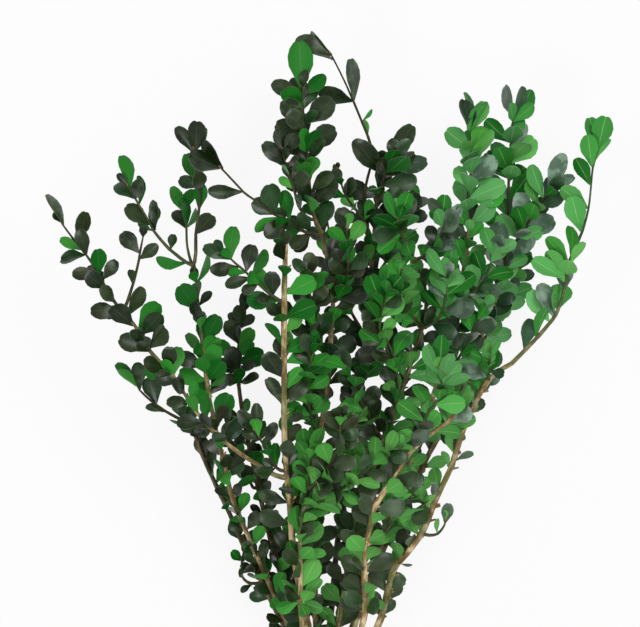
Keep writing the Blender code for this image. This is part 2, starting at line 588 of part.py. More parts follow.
class Shoot:
    """A stem or twig and its leaves, kept by node: a place along it with one leaf to a face."""

    def __init__(self, name, rod, start, sides, rng):
        self.name, self.rod, self.start, self.sides, self.rng = name, rod, start, sides, rng
        self.nodes = {}

    def places(self):
        """Where its leaves are, as (mark, face number), from the root outward."""
        return [(node, number) for node in sorted(self.nodes) for number in sorted(self.nodes[node])]

    def outward(self, mark, number):
        """The direction that one of the twig's faces looks in."""
        side, under = across(self.rod.axis.heading(mark))
        angle = 2 * math.pi * number / self.sides
        return math.cos(angle) * side + math.sin(angle) * under

    def faces_towards(self, mark, radial):
        """The twig's faces at a place, as (number, direction), the best for a leaf first."""
        faces = [(number, self.outward(mark, number)) for number in range(self.sides)]
        return sorted(faces, key=lambda face: -face[1].dot(radial))[:2]

    def ease(self, place, planned, tries):
        """Draws a leaf out of its face another way, or leaves it out when every way was tried."""
        mark, number = place
        if tries == len(EASED):
            del self.nodes[mark][number]
            return
        least, roll, scale = EASED[tries]
        turned = planned.turned(0, roll, scale)
        self.nodes[mark][number] = turned.leaning_out(self.outward(mark, number), least)

    def seat(self, mark, radial):
        """The nearest free face to a wanted place, as (mark, face number, direction), or None."""
        for shift in (0, 1, -1, 2, -2, 3, -3, 4, -4, 5, -5, 6):
            wanted = mark + shift
            if not self.start + NODE_MARGIN <= wanted <= self.rod.axis.length - NODE_MARGIN:
                continue
            near = [node for node in self.nodes if abs(node - wanted) < NODE_SPACING]
            node = min(near, key=lambda n: abs(n - wanted)) if near else wanted
            for number, direction in self.faces_towards(node, radial):
                if number not in self.nodes.get(node, {}):
                    return node, number, direction
        return None

    def try_leaf(self, space, seat, along, normal, length, width, shows):
        """Places a leaf if there is room for it, or for it turned a little."""
        node, number, direction = seat
        base = self.rod.axis.at(node) + LEAF_SEAT * self.rod.radius(node) * direction
        first = Leaf(node, base, along.normalized(), normal, length, width, shows)
        for tilt, roll, scale in TURNS:
            leaf = first.turned(tilt, roll, scale).leaning_out(direction)
            whole, stalk, blade = leaf.slab(STALK + ROOM), leaf.slab(STALK), leaf.slab(STALK[1:] + ROOM)
            if min(point.z for point in whole[0]) < SEAT_GAP:
                continue
            own, own_blade, own_stalk = self.name, self.name + " blade", self.name + " stalk"
            if space.blocked(*whole, lambda owner: owner not in (own, own_stalk)):
                continue
            if space.blocked(*blade, lambda owner: owner == own_stalk):
                continue
            space.add(own_blade, *blade)
            space.add(own_stalk, *stalk)
            self.nodes.setdefault(node, {})[number] = leaf
            return True
        return False

    def add_single(self, space, x, y, length, side):
        """One leaf whose middle lies over a point and that shows one side upward."""
        middle = Vector((x, y))
        reach = LEAF_MIDDLE * length + self.rod.thin
        axis = self.rod.axis

        def cost(mark):
            offset = middle - axis.at(mark).xy
            gap = offset.length - reach
            forward = offset.normalized().dot(axis.heading(mark).xy.normalized())
            weight = 1.0 if gap > 0 else TOO_NEAR
            return weight * gap * gap + BACKWARD * max(0.0, LEAST_FORWARD - forward) ** 2

        marks = np.arange(self.start + NODE_MARGIN, axis.length - NODE_MARGIN, 1.0).tolist()
        mark = min(marks, key=cost)
        seat = self.seat(mark, Vector((*(middle - axis.at(mark).xy), 0)))
        if seat is None:
            return
        offset = middle - axis.at(seat[0]).xy
        length *= min(max(offset.length / reach, 1.0), 1.2)
        flat = min(offset.length / reach, 1.0)
        lift = min(math.sqrt(1 - flat * flat), STEEPEST)
        lean = self.rng.uniform(-LEAN, LEAN)
        faces_up = Vector((0, 0, 1 if side in "Dde" else -1))
        roll = ROLLS[side] * self.rng.choice((-1, 1))
        for sign in (1, -1):
            along = Vector((*(offset.normalized() * math.sqrt(1 - lift * lift)), sign * lift))
            leaf = Leaf(0, Vector(), along, faces_up, length, 1, side).turned(lean, roll, 1)
            width = length * LEAF_WIDTH * self.rng.uniform(0.94, 1.08)
            if self.try_leaf(space, seat, leaf.along, leaf.normal, length, width, side in "Bb"):
                return

    def add_pairs(self, space, length, gap, share, first=0, last=1000):
        """Pairs of leaves at right angles to the pair before, along the twig or a stretch of it."""
        phase = self.rng.choice((0, 90))
        mark = max(self.start, first) + self.rng.uniform(3, 6)
        while mark < min(last, self.rod.axis.length - NODE_MARGIN):
            along = self.rod.axis.heading(mark)
            side, under = across(along)
            size = length * self.rng.uniform(*PAIR_SIZE) * (1 - PAIR_TAPER * mark / self.rod.axis.length)
            for half in (0, 180):
                angle = math.radians(phase + half + self.rng.uniform(-PAIR_WANDER, PAIR_WANDER))
                radial = math.cos(angle) * side + math.sin(angle) * under
                spread = math.radians(self.rng.uniform(*PAIR_SPREAD))
                pointing = math.cos(spread) * along + math.sin(spread) * radial
                bright = self.rng.random() < share
                natural = math.sin(spread) * along - math.cos(spread) * radial
                upper = 0.35 * natural + Vector((0, 0, -0.9 if bright else 0.9))
                upper += 0.3 * Vector((self.rng.uniform(-1, 1), self.rng.uniform(-1, 1), 0))
                seat = self.seat(mark, radial)
                if seat is None or abs(seat[0] - mark) > 4:
                    continue
                self.try_leaf(space, seat, pointing, upper, size, size * LEAF_WIDTH, bright)
            phase += 90
            mark += gap * self.rng.uniform(*PAIR_GAP)


def bundle_place(column, row):
    """Where a stem passes the band: x, and the height above the ground."""
    centre = TIE_THICKNESS + SEAT_GAP + BUNDLE_RADIUS
    return TIE[0] + column * PITCH, centre + (row * ROW_RISE - MIDDLE_RISE) * PITCH


def grow_stems():
    rods = {}
    for name, (slot, route, tip, _, _) in STEMS.items():
        x, z = bundle_place(*slot)
        knots = [(x, BUTT, z), (x, TIE[1] - 6, z), (x, TIE[1] + 5, z), (x, TIE[1] + 13, z), *route]
        rods[name] = Rod(Axis(knots), STEM_RADIUS, tip)
    return rods


def seated(axis, radii, carrier, mark):
    """The new rod, and how far along it the first point lies that clears the carrier."""
    rod = Rod(axis, *radii)
    at_end = mark > carrier.axis.length - 0.5
    carrier_tree = BVHTree.FromPolygons(*carrier.shell(0.2 if at_end else SEAT_GAP, sides=10))
    start = SEAT_GAP if at_end else 0.0
    while start < 9:
        tube = rod.shell(0.1, start, start + 5, 8)
        if not BVHTree.FromPolygons(*tube).overlap(carrier_tree):
            break
        start += SEAT_STEP
    return rod, start


def grow_twig(carrier, route, top, radii):
    mark = carrier.axis.nearest(*route[0])
    base = carrier.axis.at(mark)
    flat = [base.xy, *(Vector(point) for point in route[1:])]
    run = np.cumsum([0] + [(b - a).length for a, b in zip(flat, flat[1:])])
    knots = [(*point, base.z + (top - base.z) * share) for point, share in zip(flat, run / run[-1])]
    return seated(Axis(knots), radii, carrier, mark)


def grow():
    """Every stem and shoot of the plan, with leaves wherever there is room."""
    rng = random.Random(7)
    rods = grow_stems()
    shoots = [Shoot(name, rods[name], LEAFLESS, STEM_SIDES, rng) for name in STEMS]
    rods["stem_a_limb"], start = seated(Axis(LIMB), LIMB_RADII, rods["stem_a"], 0)
    shoots.append(Shoot("stem_a_limb", rods["stem_a_limb"], start, STEM_SIDES, rng))
    plan = {name: entry[:3] for name, entry in (SHOOTS | FILL_SHOOTS).items()}
    for name, (carrier, route, top) in plan.items():
        radii = THICK_TWIGS.get(name, TWIG_BASE), TWIG_TIP
        rods[name], start = grow_twig(rods[carrier], route, top, radii)
        shoots.append(Shoot(name, rods[name], start, TWIG_SIDES, rng))
    space = Space()
    for shoot in shoots:
        space.add(shoot.name, *shoot.rod.shell(SEAT_GAP, 0.0 if shoot.name in STEMS else shoot.start))
    singles = {name: entry[3] for name, entry in (STEMS | SHOOTS).items()}
    pairs = {name: entry[-1] for name, entry in (STEMS | SHOOTS | FILL_SHOOTS).items()}
    for shoot in shoots:
        for single in singles.get(shoot.name, []):
            shoot.add_single(space, *single)
    for shoot in shoots:
        if pairs.get(shoot.name):
            shoot.add_pairs(space, *pairs[shoot.name])
    return shoots


def ring_marks(shoot):
    """Where the twig's rings go: two to a node, and more where the twig would bend between them."""
    marks = [0.0 if shoot.name in STEMS else shoot.start]
    for node in sorted(shoot.nodes):
        marks += [node - NODE_HALF, node + NODE_HALF]
    marks.append(shoot.rod.axis.length)
    rings = [marks[0]]
    for mark in marks[1:]:
        steps = math.ceil((mark - rings[-1]) / LONGEST_STEP)
        start = rings[-1]
        rings += [start + (mark - start) * step / steps for step in range(1, steps + 1)]
    return rings


def ring_points(rod, mark, sides, count):
    """The corners of a ring. Every other ring is slimmer, as a twig is above its leaves."""
    side, under = across(rod.axis.heading(mark))
    angles = [2 * math.pi * (corner - 0.5) / sides for corner in range(sides)]
    reach = CORNER_REACH[count % 2] * rod.radius(mark)
    return [rod.axis.at(mark) + reach * (math.cos(a) * side + math.sin(a) * under) for a in angles]


def extruded(bm, face, corners):
    """Extrudes a face and moves its corners to new points, turned so that the sides twist least."""
    face = bmesh.ops.extrude_discrete_faces(bm, faces=[face])["faces"][0]
    verts, count = list(face.verts), len(corners)
    old_middle = sum((vert.co for vert in verts), Vector()) / count
    new_middle = sum(corners, Vector()) / count

    def twist(shift):
        return sum(((vert.co - old_middle).normalized()
                    - (corners[(i + shift) % count] - new_middle).normalized()).length_squared
                   for i, vert in enumerate(verts))

    shift = min(range(count), key=twist)
    order = [None] * count
    for i, vert in enumerate(verts):
        order[(i + shift) % count] = vert
    for vert, corner in zip(order, corners):
        vert.co = corner
    return face, order


def add_leaf(bm, face, leaf):
    """A leaf as a thin wedge: from the twig to its widest part, and on to its tip.

    Its edges curl under a little, so its underside is narrower than its upper side.
    """
    thick, wide, under, narrow = LEAF_THICKNESS / 2, 0.5, 0.5 * LEAF_UNDERSIDE, 0.5 * LEAF_TIP_WIDTH
    rim = [(under, -thick), (wide, thick), (-wide, thick), (-under, -thick)]
    section = [leaf.point(LEAF_WIDEST, *corner) for corner in rim]
    tip = [leaf.point(1.0, math.copysign(narrow, sideways), 0) for sideways, _ in rim]
    face, _ = extruded(bm, face, section)
    face = bmesh.ops.extrude_discrete_faces(bm, faces=[face])["faces"][0]
    for vert in face.verts:
        nearest = min(range(4), key=lambda i: (vert.co - section[i]).length)
        vert.co = tip[nearest]


def first_rings(bm, sides):
    """A prism's two rings of corners, each in order round it."""
    bmesh.ops.create_cone(bm, cap_ends=True, segments=sides, radius1=1, radius2=1, depth=1)

    def turn(vert):
        return math.atan2(vert.co.y, vert.co.x)

    return [sorted((vert for vert in bm.verts if vert.co.z < 0), key=turn),
            sorted((vert for vert in bm.verts if vert.co.z > 0), key=turn)]


def run_through(first, second):
    """Whether two triangles of one mesh run through each other away from a corner that they share."""
    shared = set(first.verts) & set(second.verts)
    if len(shared) != 1:
        return not shared
    for cutter, cut in ((first, second), (second, first)):
        start, end = (vert.co for vert in cutter.verts if vert not in shared)
        corners = [vert.co for vert in cut.verts]
        hit = intersect_ray_tri(*corners, (end - start).normalized(), start, True)
        if hit and TOUCH < (hit - start).length < (end - start).length - TOUCH:
            return True
    return False


def crossed_leaves(bm, leaf_of, others):
    """The leaves of a body that run through itself, nearer the root, or through other bodies.

    Also gives the search tree of the body.
    """
    whole = bm.copy()
    owner = whole.faces.layers.int.new("owner")
    for face, twin in zip(bm.faces, whole.faces):
        twin[owner] = leaf_of.get(face, WOOD)
    bmesh.ops.triangulate(whole, faces=whole.faces)
    whole.faces.ensure_lookup_table()
    tree = BVHTree.FromBMesh(whole)
    pairs = [(whole.faces[i], whole.faces[j]) for i, j in tree.overlap(tree) if i < j]
    crossed = {max(a[owner], b[owner]) for a, b in pairs if run_through(a, b)}
    crossed |= {whole.faces[i][owner] for other in others for i, _ in tree.overlap(other)}
    whole.free()
    return crossed - {WOOD}, tree


def bare_body(shoot):
    """The wood of a shoot as a tapering tube, with its rings and where they are."""
    rod, sides = shoot.rod, shoot.sides
    marks = ring_marks(shoot)
    bm = bmesh.new()
    rings = first_rings(bm, sides)
    for count, ring in enumerate(rings):
        for vert, point in zip(ring, ring_points(rod, marks[count], sides, count)):
            vert.co = point
    cap = bm.faces.get(rings[1])
    for count in range(2, len(marks)):
        cap, ring = extruded(bm, cap, ring_points(rod, marks[count], sides, count))
        rings.append(ring)
    return bm, rings, marks


def bare_tree(shoot):
    bm, _, _ = bare_body(shoot)
    tree = BVHTree.FromBMesh(bm)
    bm.free()
    return tree


def woods(shoots):
    """The search tree of every shoot's wood, each started further out if it runs into another."""
    trees = {}
    for shoot in shoots:
        tree = bare_tree(shoot)
        while shoot.name not in STEMS and any(tree.overlap(other) for other in trees.values()):
            shoot.start += SEAT_STEP
            tree = bare_tree(shoot)
        trees[shoot.name] = tree
    return trees


def leafy_body(shoot):
    """One closed body: the wood with a leaf drawn out of it at every filled place.

    Also gives the number of the leaf that each of its faces belongs to.
    """
    bm, rings, marks = bare_body(shoot)
    wood, leaf_of = set(bm.faces), {}
    for count, (node, number) in enumerate(shoot.places()):
        place = min(range(len(marks)), key=lambda i: abs(marks[i] - (node - NODE_HALF)))
        low, high = rings[place], rings[place + 1]
        a, b = number % shoot.sides, (number + 1) % shoot.sides
        add_leaf(bm, bm.faces.get((low[a], low[b], high[b], high[a])), shoot.nodes[node][number])
        leaf_of.update({face: count for face in bm.faces if face not in wood and face not in leaf_of})
    return bm, leaf_of


def leafy_mesh(shoot, others):
    """The body of a shoot. A leaf that would run through it, or through another body, is eased."""
    planned = {place: shoot.nodes[place[0]][place[1]] for place in shoot.places()}
    tries = dict.fromkeys(planned, 0)
    bm, leaf_of = leafy_body(shoot)
    crossed, tree = crossed_leaves(bm, leaf_of, others)
    while crossed:
        for place in [shoot.places()[count] for count in crossed]:
            shoot.ease(place, planned[place], tries[place])
            tries[place] += 1
        bm.free()
        bm, leaf_of = leafy_body(shoot)
        crossed, tree = crossed_leaves(bm, leaf_of, others)
    bmesh.ops.triangulate(bm, faces=bm.faces)
    bmesh.ops.remove_doubles(bm, verts=bm.verts, dist=1e-4)
    bmesh.ops.recalc_face_normals(bm, faces=bm.faces)
    bmesh.ops.scale(bm, vec=(MM, MM, MM), verts=bm.verts)
    mesh = bpy.data.meshes.new(shoot.name)
    bm.to_mesh(mesh)
    bm.free()
    return mesh, tree


def material(name, colour, roughness):
    made = bpy.data.materials.new(name)
    made.use_nodes = True
    shader = made.node_tree.nodes["Principled BSDF"]
    shader.inputs["Base Color"].default_value = colour
    shader.inputs["Roughness"].default_value = roughness
    shader.inputs["Metallic"].default_value = 0
    return made


def add_object(name, mesh, collection, colour, roughness):
    made = bpy.data.objects.new(name, mesh)
    collection.objects.link(made)
    mesh.materials.append(material(name, colour, roughness))
    return made


def add_band(collection):
    """The rubber band: a flat ring round the bundle, turned about the direction of the stems."""
    inner = BUNDLE_RADIUS + SEAT_GAP
    outer, half, edge = inner + TIE_THICKNESS, TIE_WIDTH / 2, TIE_EDGE
    profile = [(inner, -half), (inner, half), (outer - edge, half), (outer, half - edge),
               (outer, edge - half), (outer - edge, -half)]
    mesh = bpy.data.meshes.new("band")
    edges = [(i, (i + 1) % len(profile)) for i in range(len(profile))]
    mesh.from_pydata([(r * MM, y * MM, 0) for r, y in profile], edges, [])
    band = add_object("band", mesh, collection, RUBBER, 0.6)
    screw = band.modifiers.new("turn", "SCREW")
    screw.axis, screw.steps, screw.render_steps = "Y", 30, 30
    screw.use_merge_vertices, screw.merge_threshold = True, 1e-5
    screw.use_normal_calculate = True
    band.location = (TIE[0] * MM, TIE[1] * MM, outer * MM)
    return band


def leafy_colour(shoot):
    """Between the two greens, by how many of the leaves turn their pale undersides up."""
    leaves = [leaf for node in shoot.nodes.values() for leaf in node.values()]
    share = sum(leaf.normal.z < 0 for leaf in leaves) / len(leaves)
    return [dark + (bright - dark) * share for dark, bright in zip(GREEN_DARK, GREEN_BRIGHT)]


def main():
    for old in list(bpy.data.objects):
        bpy.data.objects.remove(old)
    collection = bpy.data.collections.new("preserved_boxwood_bunch")
    bpy.context.scene.collection.children.link(collection)
    made = [add_band(collection)]
    shoots = grow()
    trees = woods(shoots)
    for shoot in shoots:
        others = [tree for name, tree in trees.items() if name != shoot.name]
        mesh, trees[shoot.name] = leafy_mesh(shoot, others)
        if shoot.name.startswith("stem"):
            made.append(add_object(shoot.name, mesh, collection, BARK, 0.8))
        else:
            made.append(add_object("shoot_" + shoot.name, mesh, collection, leafy_colour(shoot), 0.5))
    bpy.context.view_layer.update()
    corners = np.array([obj.matrix_world @ Vector(corner) for obj in made for corner in obj.bound_box])
    low, high = corners.min(axis=0), corners.max(axis=0)
    for obj in made:
        obj.location -= Vector(((low[0] + high[0]) / 2, (low[1] + high[1]) / 2, low[2]))


main()
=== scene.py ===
# A bunch of preserved boxwood: leaves, wood, buds and a rubber band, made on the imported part.
import json
import math
import random

import bmesh
import bpy
from mathutils import Matrix, Vector
from mathutils.bvhtree import BVHTree
from mathutils.geometry import intersect_point_line

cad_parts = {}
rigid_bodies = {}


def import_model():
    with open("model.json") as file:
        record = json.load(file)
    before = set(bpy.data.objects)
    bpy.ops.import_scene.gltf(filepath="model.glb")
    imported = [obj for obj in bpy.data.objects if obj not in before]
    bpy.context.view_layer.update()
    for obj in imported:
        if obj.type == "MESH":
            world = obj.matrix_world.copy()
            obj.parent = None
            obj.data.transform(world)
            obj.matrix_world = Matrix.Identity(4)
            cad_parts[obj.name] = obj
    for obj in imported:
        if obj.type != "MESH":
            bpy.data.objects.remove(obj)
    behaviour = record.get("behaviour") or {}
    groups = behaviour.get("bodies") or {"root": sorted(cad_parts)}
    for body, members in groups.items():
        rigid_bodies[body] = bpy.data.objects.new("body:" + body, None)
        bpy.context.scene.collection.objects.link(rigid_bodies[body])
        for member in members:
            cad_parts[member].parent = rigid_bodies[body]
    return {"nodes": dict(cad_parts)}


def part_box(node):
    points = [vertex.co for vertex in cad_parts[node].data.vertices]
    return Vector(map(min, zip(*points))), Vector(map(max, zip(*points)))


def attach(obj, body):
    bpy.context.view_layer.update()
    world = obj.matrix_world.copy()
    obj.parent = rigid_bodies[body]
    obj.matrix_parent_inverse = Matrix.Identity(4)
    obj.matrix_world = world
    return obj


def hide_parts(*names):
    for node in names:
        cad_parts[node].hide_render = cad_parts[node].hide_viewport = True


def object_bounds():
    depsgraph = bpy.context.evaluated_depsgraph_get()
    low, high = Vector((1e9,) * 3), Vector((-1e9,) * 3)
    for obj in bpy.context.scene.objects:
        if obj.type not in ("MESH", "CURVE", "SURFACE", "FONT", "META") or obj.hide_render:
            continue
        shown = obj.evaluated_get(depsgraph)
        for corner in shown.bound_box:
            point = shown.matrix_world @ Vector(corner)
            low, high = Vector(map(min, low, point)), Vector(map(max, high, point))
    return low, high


bpy.ops.object.select_all(action="SELECT")
bpy.ops.object.delete()
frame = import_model()
cadLow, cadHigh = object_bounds()
mm = 0.001
up = Vector((0, 0, 1))
rng = random.Random(11)  # seeded, so that every run is the same


# Shader maths as sums

class Wire:
    # a node's output
    def __init__(self, paint, socket):
        self.paint, self.socket = paint, socket

    def maths(self, operation, one, two):
        return self.paint.node("ShaderNodeMath", {"operation": operation}, {0: one, 1: two})

    def __add__(self, other):
        return self.maths("ADD", self, other)

    def __sub__(self, other):
        return self.maths("SUBTRACT", self, other)

    def __rsub__(self, other):
        return self.maths("SUBTRACT", other, self)

    def __mul__(self, other):
        return self.maths("MULTIPLY", self, other)

    __radd__, __rmul__ = __add__, __mul__

    def __abs__(self):
        return self.maths("ABSOLUTE", self, 0)

    def between(self, low, high):
        # 0 at low and 1 at high, smooth between them
        return self.paint.node("ShaderNodeMapRange", {"interpolation_type": "SMOOTHSTEP"},
                               {"Value": self, "From Min": low, "From Max": high})


class Paint:
    # a material and the nodes that feed it
    def __init__(self, name):
        self.material = bpy.data.materials.new(name)
        self.material.use_nodes = True
        self.tree = self.material.node_tree
        self.surface = self.tree.nodes["Principled BSDF"]

    def plug(self, socket, value):
        if isinstance(value, Wire):
            self.tree.links.new(value.socket, socket)
        else:
            socket.default_value = value

    def node(self, kind, settings={}, sockets={}, out=0):
        made = self.tree.nodes.new(kind)
        for name, value in settings.items():
            setattr(made, name, value)
        for name, value in sockets.items():
            self.plug(made.inputs[name], value)
        return Wire(self, made.outputs[out])

    def place(self):
        return self.node("ShaderNodeTexCoord", out="Object")

    def uv(self):
        return self.node("ShaderNodeTexCoord", out="UV")

    def axes(self, vector):
        # its x, y and z, each as a wire
        apart = self.node("ShaderNodeSeparateXYZ", {}, {"Vector": vector})
        return [Wire(self, socket) for socket in apart.socket.node.outputs]

    def attribute(self, name, out="Color"):
        return self.node("ShaderNodeAttribute", {"attribute_name": name}, out=out)

    def channels(self, name):
        # the three values that an attribute holds as a colour, each as a wire
        apart = self.node("ShaderNodeSeparateColor", {}, {"Color": self.attribute(name)})
        return [Wire(self, socket) for socket in apart.socket.node.outputs]

    def mix(self, share, one, two):
        return self.node("ShaderNodeMix", {"data_type": "RGBA"}, {0: share, 6: one, 7: two}, out=2)

    def noise(self, scale, detail=2.0, roughness=0.5, where=None):
        return self.node("ShaderNodeTexNoise", {}, {"Vector": where or self.place(), "Scale": scale,
                                                    "Detail": detail, "Roughness": roughness})

    def finish(self, bump=None, strength=0.0, height=0.0, **sockets):
        for name, value in sockets.items():
            self.plug(self.surface.inputs[name.replace("_", " ")], value)
        if bump:
            rough = {"Strength": strength, "Distance": height, "Height": bump}
            self.plug(self.surface.inputs["Normal"], self.node("ShaderNodeBump", {}, rough))
        return self.material


def colour(red, green, blue):
    # a colour as a paint chart gives it, made linear
    return *((part / 255 / 12.92 if part < 11 else ((part / 255 + 0.055) / 1.055) ** 2.4)
             for part in (red, green, blue)), 1.0


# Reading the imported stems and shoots

# a packed leaf is a wedge, widest at a share of its length and folded at its tip; a packed twig has four
# sides and a stem six, with corners a little outside their radius
packed = {"widest": 0.6, "tipFold": 160, "sides": (4, 6), "cornerReach": 1.08, "flat": 0.999,
          "same": 0.01 * mm}


def inOrder(verts):
    # a set has no fixed order, and every run must add its vertices up alike
    return sorted(verts, key=lambda vert: vert.index)


def walk(seeds):
    # the vertices in layers, each one edge further from the seeds
    layers, seen = [list(seeds)], set(seeds)
    while layers[-1]:
        nearby = {edge.other_vert(vert) for vert in layers[-1] for edge in vert.link_edges} - seen
        seen |= nearby
        layers.append(inOrder(nearby))
    return layers[:-1]


def middleOf(verts):
    return sum((vert.co for vert in verts), Vector()) / len(verts)


def flatRound(face):
    # a face and those beside it that lie in its plane
    flat = [face]
    for near in flat:
        beside = {other for edge in near.edges for other in edge.link_faces}
        flat += [other for other in beside
                 if other not in flat and other.normal.dot(face.normal) > packed["flat"]]
    return flat


def endOf(bm):
    # the corners of a flat end: counted from it, every layer of vertices is one whole ring
    for face in bm.faces:
        corners = inOrder({vert for near in flatRound(face) for vert in near.verts})
        if len(corners) not in packed["sides"]:
            continue
        if all(len(ring) == len(corners) for ring in walk(corners)):
            return corners


def measureLeaf(tips, corners, seats):
    # from the two ends of its tip, the corners of its widest part and those where it meets the twig
    across = (tips[1].co - tips[0].co).normalized()
    lowest, low, high, highest = (vert.co for vert in sorted(corners, key=lambda vert: vert.co.dot(across)))
    middle, tip = (lowest + low + high + highest) / 4, (tips[0].co + tips[1].co) / 2
    along, length = (tip - middle).normalized(), (tip - middle).length / (1 - packed["widest"])
    normal = (lowest + highest) - (low + high)  # the upper side is the wider one
    return {"base": tip - length * along, "along": along, "length": length,
            "normal": (normal - normal.dot(along) * along).normalized(),
            "width": (highest - lowest).length, "seat": middleOf(seats)}


def readNode(node):
    # the centre line and radii of a packed stem or shoot, base first, and its leaves
    bm = bmesh.new()
    bm.from_mesh(frame["nodes"][node].data)
    bmesh.ops.remove_doubles(bm, verts=bm.verts, dist=packed["same"])
    bm.verts.index_update()
    leaves, blades, tipFold = [], set(), math.radians(packed["tipFold"])
    for edge in bm.edges:
        tips = set(edge.verts)
        corners = {side.other_vert(vert) for vert in tips for side in vert.link_edges} - tips
        seats = {side.other_vert(vert) for vert in corners for side in vert.link_edges} - corners - tips
        if len(corners) == len(seats) == 4 and edge.calc_face_angle_signed() > tipFold:
            seats = sorted(seats, key=lambda vert: vert.co.yxz[:])  # two rings may be equally near them
            leaves.append(measureLeaf(list(edge.verts), corners, seats))
            blades |= corners | tips
    bmesh.ops.delete(bm, geom=inOrder(blades), context="VERTS")
    bm.verts.index_update()
    rings = walk(endOf(bm))
    centres = [middleOf(ring) for ring in rings]
    radii = [sum((vert.co - centre).length for vert in ring) / len(ring) / packed["cornerReach"]
             for ring, centre in zip(rings, centres)]
    bm.free()
    if radii[0] < radii[-1]:
        centres.reverse()
        radii.reverse()
    return {"node": node, "centres": centres, "radii": radii, "leaves": leaves}


parts = [readNode(node) for node in sorted(frame["nodes"]) if node != "band"]
bandMiddle = sum((Vector(corner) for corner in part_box("band")), Vector()) / 2
print("read", len(parts), "stems and shoots with", sum(len(part["leaves"]) for part in parts), "leaves")


# How the leaves of the frame settle: nearer one size, swept along the twig, few edge on

settled = {
    # short leaves grow most, and each millimetre past an even length takes a little off that
    "evenAt": 15.0, "even": 0.019, "grow": 1.18, "shrink": 0.92,
    # long leaves and those at a tip are narrower
    "slimFrom": 24 * mm, "slim": 0.86, "tipSlim": 0.88,
    # the share of the way from a leaf's own direction to its twig's, more within reach of the tip
    "sweep": 0.14, "tipSweep": 0.24, "tipReach": 26 * mm,
    # leaves that would point out over the bunch's border are swept further and are smaller
    "outerLean": 0.3, "outerYoung": 0.2, "outerSweep": 0.2, "outerSize": 0.75,
    # the share of the way to where a drooping tip hangs, for the leaves near that tip
    "droop": 0.45, "droopFrom": 0.3,
    # how far up or down each leaf faces, and how many of those that face up turn over
    "leastShown": 0.35, "turnOver": 0.95, "turnFrom": 0.2,
}
# what some parts have of their own: the size of their leaves, the way the tip hangs, and the side on
# which they border the bunch, -1 for the left and 1 for the right
bigLeaved = {"shoot_right_a": 1.2, "shoot_right_b": 1.2, "shoot_right_c": 1.12, "shoot_right_arm": 1.08,
             "shoot_crown_arch": 1.25, "shoot_crown_dark": 1.15, "shoot_crown_mid": 1.1,
             "shoot_heart_h": 0.8, "shoot_low_h": 0.8}
drooping = {"shoot_crown_arch": Vector((-1, 0.15, -0.5))}
outerSide = {"stem_b": -1, "stem_c": -1, "stem_f": 1, "stem_l": -1, "shoot_crown_side": -1,
             "shoot_left_low": -1, "shoot_low_a": -1, "shoot_low_h": -1, "shoot_right_a": -1,
             "shoot_right_arm": 1, "shoot_right_g": 1}
# the share of leaves that show their bright undersides: most to the right, fewer low down, and in some
# parts more or less than that
brightLook = {"least": 0.29, "right": 0.4, "rightReach": (10 * mm, 90 * mm), "low": 0.06,
              "lowReach": (110 * mm, 200 * mm)}
brighter = {"shoot_right_c": -0.45, "shoot_crown_arch": -0.6, "shoot_crown_dark": -0.1,
            "shoot_crown_mid": -0.12}


def ramp(low, high, value):
    # 0 at low and 1 at high, smooth between them
    share = min(max((value - low) / (high - low), 0.0), 1.0)
    return share * share * (3 - 2 * share)


def brightHere(place, part):
    out = place - bandMiddle
    share = brightLook["least"] + brightLook["right"] * ramp(*brightLook["rightReach"], out.x)
    share -= brightLook["low"] * (1 - ramp(*brightLook["lowReach"], out.y))
    return share + brighter.get(part["node"], 0)


def twigThere(part, place):
    # which way the twig runs at the ring nearest to a place
    centres = part["centres"]
    near = min(range(1, len(centres)), key=lambda i: (centres[i] - place).length)
    return (centres[near] - centres[near - 1]).normalized()


def resize(part, leaf, young, outward):
    size = settled["grow"] - settled["even"] * (leaf["length"] / mm - settled["evenAt"])
    size = min(max(size, settled["shrink"]), settled["grow"]) * bigLeaved.get(part["node"], 1)
    size *= settled["outerSize"] if outward else 1
    slim = settled["slim"] if leaf["length"] > settled["slimFrom"] else 1
    slim *= 1 - (1 - settled["tipSlim"]) * young
    leaf["length"], leaf["width"] = leaf["length"] * size, leaf["width"] * size * slim


def sweepAlong(part, leaf, young, outward):
    twig = twigThere(part, leaf["seat"])
    turn = settled["sweep"] + settled["tipSweep"] * young + settled["outerSweep"] * outward
    if part["node"] in drooping and young > settled["droopFrom"]:
        twig, turn = drooping[part["node"]], settled["droop"]
    swept = Matrix.Rotation(turn * leaf["along"].angle(twig), 3, leaf["along"].cross(twig))
    leaf["along"], leaf["normal"] = swept @ leaf["along"], swept @ leaf["normal"]


def faceUpOrDown(part, leaf):
    shown = settled["leastShown"]
    if abs(leaf["normal"].z) < shown:
        across = leaf["along"].cross(leaf["normal"])
        facing = leaf["normal"] + across * math.copysign(shown, leaf["normal"].z * across.z)
        leaf["normal"] = facing.normalized()
    chance = settled["turnOver"] * (brightHere(leaf["base"], part) - settled["turnFrom"])
    if leaf["normal"].z > 0 and rng.random() < chance:
        leaf["normal"] = -leaf["normal"]


for part in parts:
    for leaf in part["leaves"]:
        young = 1 - ramp(0, settled["tipReach"], (leaf["seat"] - part["centres"][-1]).length)
        leaning = leaf["along"].x * outerSide.get(part["node"], 0) > settled["outerLean"]
        outward = leaning and young < settled["outerYoung"]
        resize(part, leaf, young, outward)
        sweepAlong(part, leaf, young, outward)
        faceUpOrDown(part, leaf)
print("leaves settled")


# Wood

